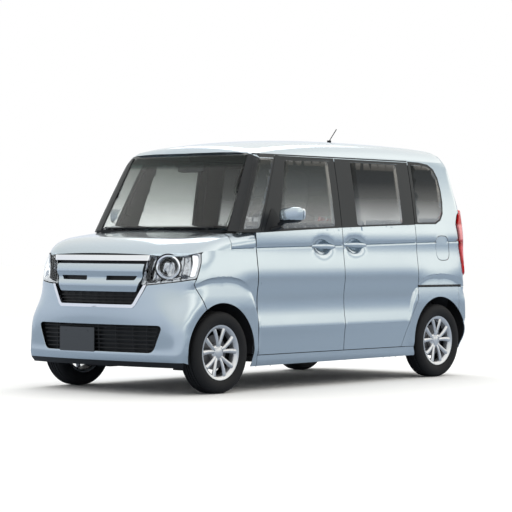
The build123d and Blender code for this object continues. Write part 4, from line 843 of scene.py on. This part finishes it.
def make_headlamps():
    """Make the headlamps: clear cover, silver bucket with steps, a ringed projector and an outer signal."""
    flat = rounded(LAMP, 12, 4)
    pair("lamp_cover", lay(NOSE, flat, gap=22, rim=9), "lamp cover", whole="headlamps", wall=2.5, edge=0.8)
    points, faces = trimmed(flat, (), 14, 9)
    u, v = points.T
    depth = np.minimum(nearest(points, dense(flat, 6)) * 1.6, 52.0)
    way = np.interp(u, [1400, 1890], [1.35, 0.35])
    push = np.stack([np.cos(way), np.sin(way), 0 * depth], 1)
    ridge = 7.0 * np.sin(u / 12.0 + v / 31.0) * (depth > 40)
    bucket = NOSE(u, v) - push * (depth + 4 + ridge)[:, None]
    pair("lamp_bucket", (bucket, faces[:, ::-1]), "lamp silver", wall=2)
    aim = 40.0
    out = np.array([cos(radians(aim)), sin(radians(aim)), 0])
    place = NOSE(np.array([1655.0]), np.array([859.0]))[0] - out * 14
    for name, material, count, profile, how in (
            ("ring", "chrome", 64, [(80, -34), (82, -22), (79, -14), (71, -14), (67, -24), (56, -44),
                                    (38, -52), (34, -50)], dict(slot="headlamp", wall=2)),
            ("lens", "lamp cover", 48, [(34, -50), (33, -38), (29, -26), (20, -17), (9, -12), (0.5, -11)],
             dict(wall=3)),
            ("iris", "black plastic", 64, [(38, -49), (55, -40), (53, -34), (37, -43)], {}),
            ("bezel", "black plastic", 64, [(81, -40), (91, -24), (89, -12), (81, -13), (80, -40)], {})):
        pair(f"lamp_{name}", turned(lathe(profile, "x", count), aim, place), material, **how)
    signal = rounded([(1490, 790), (1452, 796), (1408, 900), (1403, 934), (1446, 936), (1458, 880)], 9)
    pair("lamp_signal", lay(NOSE, signal, gap=14, rim=8, shift=(-10, -16, 0)), "chrome", slot="headlamp",
         wall=10, edge=3)


def make_handles():
    """Make the door handles: bowed grips across the hollows.

    With t from -1 to 1 along a grip, it stands out by 1 - |t|^3.5 and thins as 1 - |t|^3 / 2.
    """
    t = np.linspace(-1, 1, 25)
    for name, x0, z0, body in (("front", 82, 997, "front_door_{}"), ("sliding", -286, 1008, "shell")):
        path = np.stack([x0 + 134 * t, 707 + 22 * (1 - np.abs(t) ** 3.5), z0 + 2 * t], 1)
        verts, faces = tube(path, 16 * (1 - 0.5 * np.abs(t) ** 3) * 0.62, 16, flat=1.6)
        verts[:, 1] = np.minimum(verts[:, 1], HANDLE_LIMIT_Y)
        pair(f"{name}_handle", (verts, faces), "body paint", body)


def make_mirrors():
    """Make the door mirrors: rounded shells on black feet, with mirror glass on the rear side.

    A shell is a superellipsoid of signed powers: width cos^0.55(v) cos^0.5(u), depth cos^0.55(v) sin^0.6(u),
    height sin^0.55(v), thinned toward its outer end.
    """
    u, v = np.meshgrid(np.linspace(-pi, pi, 49)[:-1], np.linspace(-pi / 2, pi / 2, 33), indexing="ij")
    width = signed_power(np.cos(v), 0.55) * signed_power(np.cos(u), 0.5)
    depth = signed_power(np.cos(v), 0.55) * signed_power(np.sin(u), 0.6)
    height = signed_power(np.sin(v), 0.55)
    x = 592 + np.where(depth > 0, 58, 56) * depth * (1 - 0.4 * np.maximum(width, 0) ** 2.5) - 8 * width
    verts = np.stack([x, 832 + 80 * width, 1218 + 55 * height + 7 * width - 3], -1).reshape(-1, 3)
    shell = (verts, grid_faces(48, 33, wrap_rows=True)[:, ::-1])
    for obj in pair("mirror_shell", shell, "body paint", "mirror_{}", ["door_mirror_{}"]):
        obj.data.materials.append(MATERIALS["black plastic"])
        heights = np.array([vert.co.z for vert in obj.data.vertices]) * 1000
        for poly in obj.data.polygons:
            poly.material_index = int(heights[list(poly.vertices)].mean() < MIRROR_SPLIT_Z)
    glass_line = rounded([(798, 1180), (798, 1256), (903, 1262), (903, 1186)], 22)
    pane = lay(lambda u, v: np.stack([534.5 - 0.1 * (u - 838), u, v], 1), glass_line, gap=30, rim=12)
    pair("mirror_glass", pane, "mirror glass", "mirror_{}", wall=1.5)
    arm = tube([(620, 745, 1150), (620, 765, 1160), (618, 790, 1176), (616, 815, 1190)],
               [22, 24, 22, 15], 14, flat=0.7)
    pair("mirror_arm", arm, "black plastic", "mirror_{}")
    sail = rounded([(742, 1098), (524, 1112), (548, 1168), (612, 1262), (640, 1262)], 16)
    pair("mirror_sail", lay(SIDE, sail, gap=24, shift=(0, 3, 0)), "black plastic", "front_door_{}", wall=10,
         edge=2.0)
    foot = tube([(660, 698, 1112), (645, 715, 1118), (630, 742, 1128), (620, 762, 1140)],
                [20, 22, 23, 20], 14, flat=0.8)
    pair("mirror_foot", foot, "black plastic", "front_door_{}")


def make_wheels():
    """Make the alloy wheels with five pairs of spokes, tyres with tread, and brake discs."""
    alloy = [lathe([(178, -66), (186, -68), (186, -62), (176, -60), (168, -30), (163, 10), (163, 42),
                    (170, 52), (186, 56), (189, 60), (187, 63), (178, 62), (171, 58), (162, 50), (157, 40),
                    (155, 10), (160, -30), (166, -62), (172, -67)], count=96),
             lathe([(60, 6), (62, 24), (56, 36), (38, 44), (34, 44), (32, 47), (20, 50), (0.5, 51)])]
    t = np.linspace(0, 1, 14)
    r, y = 44 + (166 - 44) * t, 38 + 12 * t ** 0.6 - 4 * t ** 4
    for base in range(90, 450, 72):
        for side in (-1, 1):
            angle = np.radians(base + side * (10.0 + 7.5 * t))
            path = np.stack([r * np.cos(angle), y, r * np.sin(angle)], 1)
            alloy.append(tube(path, (SIZES["spoke"] + 6.0 * t) * 0.7, 12, flat=1.43))
    nuts = []
    for k in range(4):
        a = radians(45 + 90 * k)
        verts, faces = lathe([(9, 30), (9, 41), (6, 43), (0.5, 43)], count=12)
        nuts.append((verts + [47 * cos(a), 0, 47 * sin(a)], faces))
    # Painted shade: a thin black lining inside the barrel, standing in for the shadow of the wheel well.
    shade_sleeve = lathe([(154.5, 6), (159, -30), (164.5, -60), (163, -60), (157.5, -30), (153, 6), (154.5, 6)],
                   count=64)
    disc = lathe([(30, -6), (118, -6), (118, 2), (30, 2), (30, -6)])
    low = AXLE_Z - SIZES["tread"]
    tread = centred(0, [(-57, 178.5), (-60, 186), (-68, 196), (-76, 214), (-77.5, 232), (-76, 250),
                        (-69, 264), (-60, 272), (-52, 276.2), (-40, 277.6), (-39, low), (-33, low),
                        (-32, 278), (-14, 278.4), (-13, low), (-7, low), (-6, 278.5)])
    rubber = lathe([(radius, along) for along, radius in tread], count=84)
    parts = (("alloy", merge(alloy), "alloy", ["wheel_"], None),
             ("rubber", rubber, "tyre rubber", ["tyre_"], None), ("nuts", merge(nuts), "chrome", [], "alloy"),
             ("shade_sleeve", shade_sleeve, "black plastic", [], "underbody"), ("brake", disc, "cast metal", [], None))
    for end, axle in (("front", FRONT_AXLE_X), ("rear", REAR_AXLE_X)):
        for side, turn in SIDES.items():
            place = f"{end}_{side}"
            for name, mesh, material, nodes, slot in parts:
                verts, faces = on_side(mesh, turn)
                piece(f"{name}_{place}", (verts + [axle, turn * HALF_TRACK, AXLE_Z], faces), material,
                      f"wheel_{place}", [node + place for node in nodes], slot)


def pad(centre, size, tilt, crown=10.0, seams=()):
    """A padded block with sunk seams across it, tilted about the cross axis.

    A superellipsoid: x = cos^0.32(v) cos^0.32(u), y = cos^0.32(v) sin^0.32(u), z = sin^0.45(v) with signed
    powers, times half the size. The crown swells z by (1 - x^2)(1 - y^2), and a seam sinks as exp(-d^2).
    """
    rows, cols = 44, 30
    u, v = np.meshgrid(np.linspace(-pi, pi, rows + 1)[:-1], np.linspace(-pi / 2, pi / 2, cols), indexing="ij")
    girth = signed_power(np.cos(v), 0.32)
    x, y = girth * signed_power(np.cos(u), 0.32), girth * signed_power(np.sin(u), 0.32)
    z = signed_power(np.sin(v), 0.45)
    swell = 1 + crown / size[2] * (1 - x ** 2) * (1 - y ** 2) * np.abs(z)
    p = np.stack([x * size[0] / 2, y * size[1] / 2, z * size[2] / 2 * swell], -1)
    for axis, where in seams:
        p[..., 2] -= np.sign(z) * 7 * np.exp(-((p[..., axis] - where) / 7) ** 2)
    c, s = cos(radians(tilt)), sin(radians(tilt))
    turn = np.array([[c, 0, s], [0, 1, 0], [-s, 0, c]])
    return p.reshape(-1, 3) @ turn + centre, grid_faces(rows, cols, wrap_rows=True)


def make_seats():
    """Make the seats: crowned cushions, backs and head restraints with sewn channels, over their rails."""
    front, rear, bars, rails = [], [], [], []
    for side in (-1, 1):
        y = side * 310
        front += [pad((55, y, 560), (480, 480, 120), 4, 16, ((1, -150), (1, 150), (0, 60))),
                  pad((-262, y, 880), (620, 470, 110), 104, 16, ((1, -150), (1, 150), (0, -90), (0, 90))),
                  pad((-388, y, 1296), (150, 230, 74), 100, 8, ((0, -30),))]
        y = side * 236
        rear += [pad((-800, y, 556), (470, 440, 120), 4, 14, ((1, 0), (0, 60))),
                 pad((-1108, y, 880), (620, 440, 100), 104, 14, ((1, 0), (0, 90))),
                 pad((-1238, y, 1290), (140, 220, 70), 100, 8, ((0, -30),))]
    for end, cushions, node in (("front", front, "front_seats"), ("rear", rear, "rear_seat")):
        piece(f"{end}_cushions", merge(cushions), "seat cloth", nodes=[node])
    for x, seat_x, middle in ((-388, 55, 310), (-388, 55, -310), (-1238, -800, 236), (-1238, -800, -236)):
        for side in (-1, 1):
            y = middle + 48 * side
            bars.append(tube([(x + 26, y, 1150), (x + 8, y, 1200), (x, y, 1240)], 6, 8))
            y = middle + 170 * side
            rails.append(tube([(seat_x - 200, y, 262), (seat_x + 200, y, 262)], 20, 8, flat=0.6))
            rails += [tube([(seat_x + d, y, 262), (seat_x + d, y, 505)], 24, 8) for d in (-150, 150)]
    piece("restraint_bars", merge(bars), "chrome", slot="fabric")
    piece("seat_rails", merge(rails), "black plastic")


def make_cabin():
    """Make the steering wheel with its column shroud, and the interior mirror."""
    centre, lean = np.array([430.0, -350.0, 975.0]), radians(27)
    axis = np.array([-cos(lean), 0, sin(lean)])
    across, upward = np.array([0, 1.0, 0]), np.array([sin(lean), 0, cos(lean)])
    a = np.linspace(0, 2 * pi, 65)[:-1, None]
    parts = [tube(centre + 176 * (np.cos(a) * across + np.sin(a) * upward), 14, 12, closed=True)]
    t = np.linspace(30, 168, 8)[:, None]
    for angle in (0, 180, 270):
        d = cos(radians(angle)) * across + sin(radians(angle)) * upward
        parts.append(tube(centre - axis * 14 * (1 - t / 168) + d * t, 17, 10, flat=0.55))
    verts, faces = pad((0, 0, 0), (110, 150, 44), 0, 6)
    parts.append((verts @ np.stack([upward, across, axis]) + centre - axis * 6, faces))
    parts.append(tube(np.linspace(centre - axis * 20, centre - axis * 76, 4), [26, 26, 24, 24], 16))
    piece("steering_wheel_rim", merge(parts), "black plastic", "steering", ["steering_wheel"], "interior")
    piece("cabin_mirror_shell", pad((708, 0, 1560), (74, 240, 22), 90, 3), "black plastic", slot="interior")


NODE_LOOKS = {
    "underbody": ("floor_pan", "front_structure", "front_subframe", "rear_axle", "knuckle_left",
                  "knuckle_right", "fuel_tank"),
    "black plastic": ("cowl", "front_wipers", "antenna", "cabin_mirror"),
    "cast metal": ("exhaust", "engine"), "dash": ("dashboard",), "plate": ("number_plate",),
}


def dress_nodes():
    """Give every carried-over node its finish."""
    for material, nodes in NODE_LOOKS.items():
        for node in nodes:
            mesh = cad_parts[node].data
            mesh.materials.clear()
            mesh.materials.append(MATERIALS[material])


# ------------------------------------------------------------------ the stage
# Two skies as (height, colour) stops: the second stands at the rear left, the first everywhere else.
SKIES = (((0.0, (0.70, 0.76, 0.86)), (0.14, (0.80, 0.85, 0.92)), (0.28, (0.9, 0.93, 0.94)),
          (0.42, (0.92, 0.95, 0.93)), (0.6, (1.0, 1.0, 0.97)), (1.0, (1.1, 1.1, 1.08))),
         ((0.0, (0.42, 0.49, 0.59)), (0.08, (0.58, 0.66, 0.74)), (0.13, (0.85, 0.9, 0.92)),
          (0.17, (1.7, 1.65, 1.5)), (0.235, (1.7, 1.65, 1.5)), (0.29, (0.74, 0.8, 0.84)),
          (0.36, (0.85, 0.9, 0.9)), (0.5, (1.7, 1.63, 1.5)), (1.0, (1.1, 1.08, 1.05))))


def make_floor():
    """The floor: light for the camera, duller in what it throws back at the car."""
    size = 60.0
    mesh = bpy.data.meshes.new("floor")
    corners = [(-size, -size, 0), (size, -size, 0), (size, size, 0), (-size, size, 0)]
    mesh.from_pydata(corners, [], [(0, 1, 2, 3)])
    add_object("floor", mesh)
    material, tree, shader = new_material("floor")
    seen = add_node(tree, "LightPath", {})["Is Camera Ray"]
    feed(tree, shader, {"Base Color": mix(tree, seen, (0.35, 0.40, 0.47, 1), (0.93, 0.93, 0.93, 1)),
                        "Roughness": 0.9, "Specular IOR Level": 0.0})
    mesh.materials.append(material)


def make_sky():
    """The world: both skies mixed by direction, with plain tones behind glass and for the camera."""
    world = bpy.data.worlds.new("studio")
    bpy.context.scene.world = world
    world.use_nodes = True
    tree = world.node_tree
    rays = add_node(tree, "LightPath", {})
    axes = add_node(tree, "SeparateXYZ", {"Vector": add_node(tree, "TexCoord", {})["Generated"]})
    height = add_node(tree, "MapRange", {"Value": axes["Z"], "From Min": 0.0, "From Max": 0.8})["Result"]
    aside = add_node(tree, "Math", {0: axes["Y"], 1: axes["X"]}, operation="SUBTRACT")[0]
    share = add_node(tree, "MapRange", {"Value": aside, "From Min": 0.3, "From Max": 1.1})["Result"]
    sky = mix(tree, share, *(ramp(tree, height, stops) for stops in SKIES))
    beyond = mix(tree, rays["Is Transmission Ray"], sky, (1.35, 1.38, 1.36, 1))
    seen = mix(tree, rays["Is Camera Ray"], beyond, (1, 1, 1, 1))
    feed(tree, tree.nodes["Background"], {"Color": seen, "Strength": 1.0})


def make_stage():
    """Make the floor, sky, lamp and camera."""
    make_floor()
    make_sky()
    lamp = bpy.data.lights.new("top", "AREA")
    lamp.size, lamp.energy = 5.0, 185.0
    obj = add_object("top", lamp)
    spot = Vector((-2.5, -2.0, 6.5))
    obj.location = spot
    obj.rotation_euler = (Vector((0, 0, 0.5)) - spot).to_track_quat("-Z", "Y").to_euler()
    yaw, pitch, roll = radians(220.434), radians(-0.321), radians(0.162)
    forward = np.array([cos(pitch) * cos(yaw), cos(pitch) * sin(yaw), sin(pitch)])
    right = np.cross(forward, [0, 0, 1.0])
    right /= np.linalg.norm(right)
    up = np.cross(right, forward)
    right, up = cos(roll) * right + sin(roll) * up, -sin(roll) * right + cos(roll) * up
    camera = bpy.data.cameras.new("camera")
    camera.sensor_width, camera.lens, camera.clip_end = 36.0, 147.44, 200.0
    camera.shift_x, camera.shift_y = 0.0006, 0.0002
    obj = add_object("camera", camera)
    turn = Matrix(np.stack([right, up, -forward], 1).tolist()).to_4x4()
    turn.translation = (11.838, 10.086, 1.0115)
    obj.matrix_world = turn
    bpy.context.scene.camera = obj
    bpy.context.scene.view_settings.view_transform = "Standard"


# ------------------------------------------------------------------ the add-on
class WagonLook(bpy.types.PropertyGroup):
    """Colours and sizes that a user would change."""
    paint: bpy.props.FloatVectorProperty(name="Paint", description="Colour of the body's paint",
                                         subtype="COLOR", size=3, default=(0.50, 0.575, 0.635),
                                         min=0.0, max=1.0)
    cloth: bpy.props.FloatVectorProperty(name="Cloth", description="Colour of the seats' cloth",
                                         subtype="COLOR", size=3, default=(0.17, 0.15, 0.125),
                                         min=0.0, max=1.0)
    rubber: bpy.props.FloatVectorProperty(name="Tyres", description="Colour of the tyres",
                                          subtype="COLOR", size=3, default=(0.014, 0.014, 0.015),
                                          min=0.0, max=1.0)
    groove: bpy.props.FloatProperty(name="Groove", description="Depth of the groove along the side",
                                    default=0.011, min=0.0, max=0.012, unit="LENGTH", subtype="DISTANCE")
    dish: bpy.props.FloatProperty(name="Handle hollow", description="Depth of the hollows at the handles",
                                  default=0.026, min=0.0, max=0.03, unit="LENGTH", subtype="DISTANCE")
    spoke: bpy.props.FloatProperty(name="Spoke", description="Half width of a wheel spoke at its hub end",
                                   default=0.0125, min=0.006, max=0.014, unit="LENGTH", subtype="DISTANCE")
    tread: bpy.props.FloatProperty(name="Tread", description="Depth of the tyres' grooves",
                                   default=0.007, min=0.002, max=0.009, unit="LENGTH", subtype="DISTANCE")


def operator(name, work):
    """An operator class that runs one of the functions above, with its name and its words."""
    def execute(self, context):
        work()
        return {"FINISHED"}
    return type(f"WAGON_OT_{name}", (bpy.types.Operator,), {
        "__doc__": work.__doc__, "bl_idname": f"wagon.{name}", "execute": execute,
        "bl_label": name.replace("_", " ").capitalize(), "bl_options": {"REGISTER", "UNDO"}})


STEPS = {"materials": make_materials, "fenders": make_fenders, "hood": make_hood, "doors": make_doors,
         "sides": make_sides, "roof": make_roof, "windscreen": make_screen, "tail": make_tail,
         "front": make_front, "headlamps": make_headlamps, "handles": make_handles, "mirrors": make_mirrors,
         "wheels": make_wheels, "seats": make_seats, "cabin": make_cabin, "node_finishes": dress_nodes,
         "stage": make_stage}
OPERATORS = tuple(operator(name, work) for name, work in STEPS.items())


class WAGON_PT_build(bpy.types.Panel):
    """Lists the wagon's pieces in the sidebar."""
    bl_idname = "WAGON_PT_build"
    bl_label = "Kei tall wagon"
    bl_space_type = "VIEW_3D"
    bl_region_type = "UI"
    bl_category = "Wagon"

    def draw(self, context):
        for name in WagonLook.__annotations__:
            self.layout.prop(context.scene.wagon_look, name)
        for cls in OPERATORS:
            self.layout.operator(cls.bl_idname)


CLASSES = (WagonLook,) + OPERATORS + (WAGON_PT_build,)


def register():
    for cls in CLASSES:
        bpy.utils.register_class(cls)
    bpy.types.Scene.wagon_look = bpy.props.PointerProperty(type=WagonLook)


def unregister():
    del bpy.types.Scene.wagon_look
    for cls in reversed(CLASSES):
        bpy.utils.unregister_class(cls)


def main():
    register()
    for name in STEPS:
        getattr(bpy.ops.wagon, name)()
    bpy.context.view_layer.update()


if __name__ == "__main__":
    main()
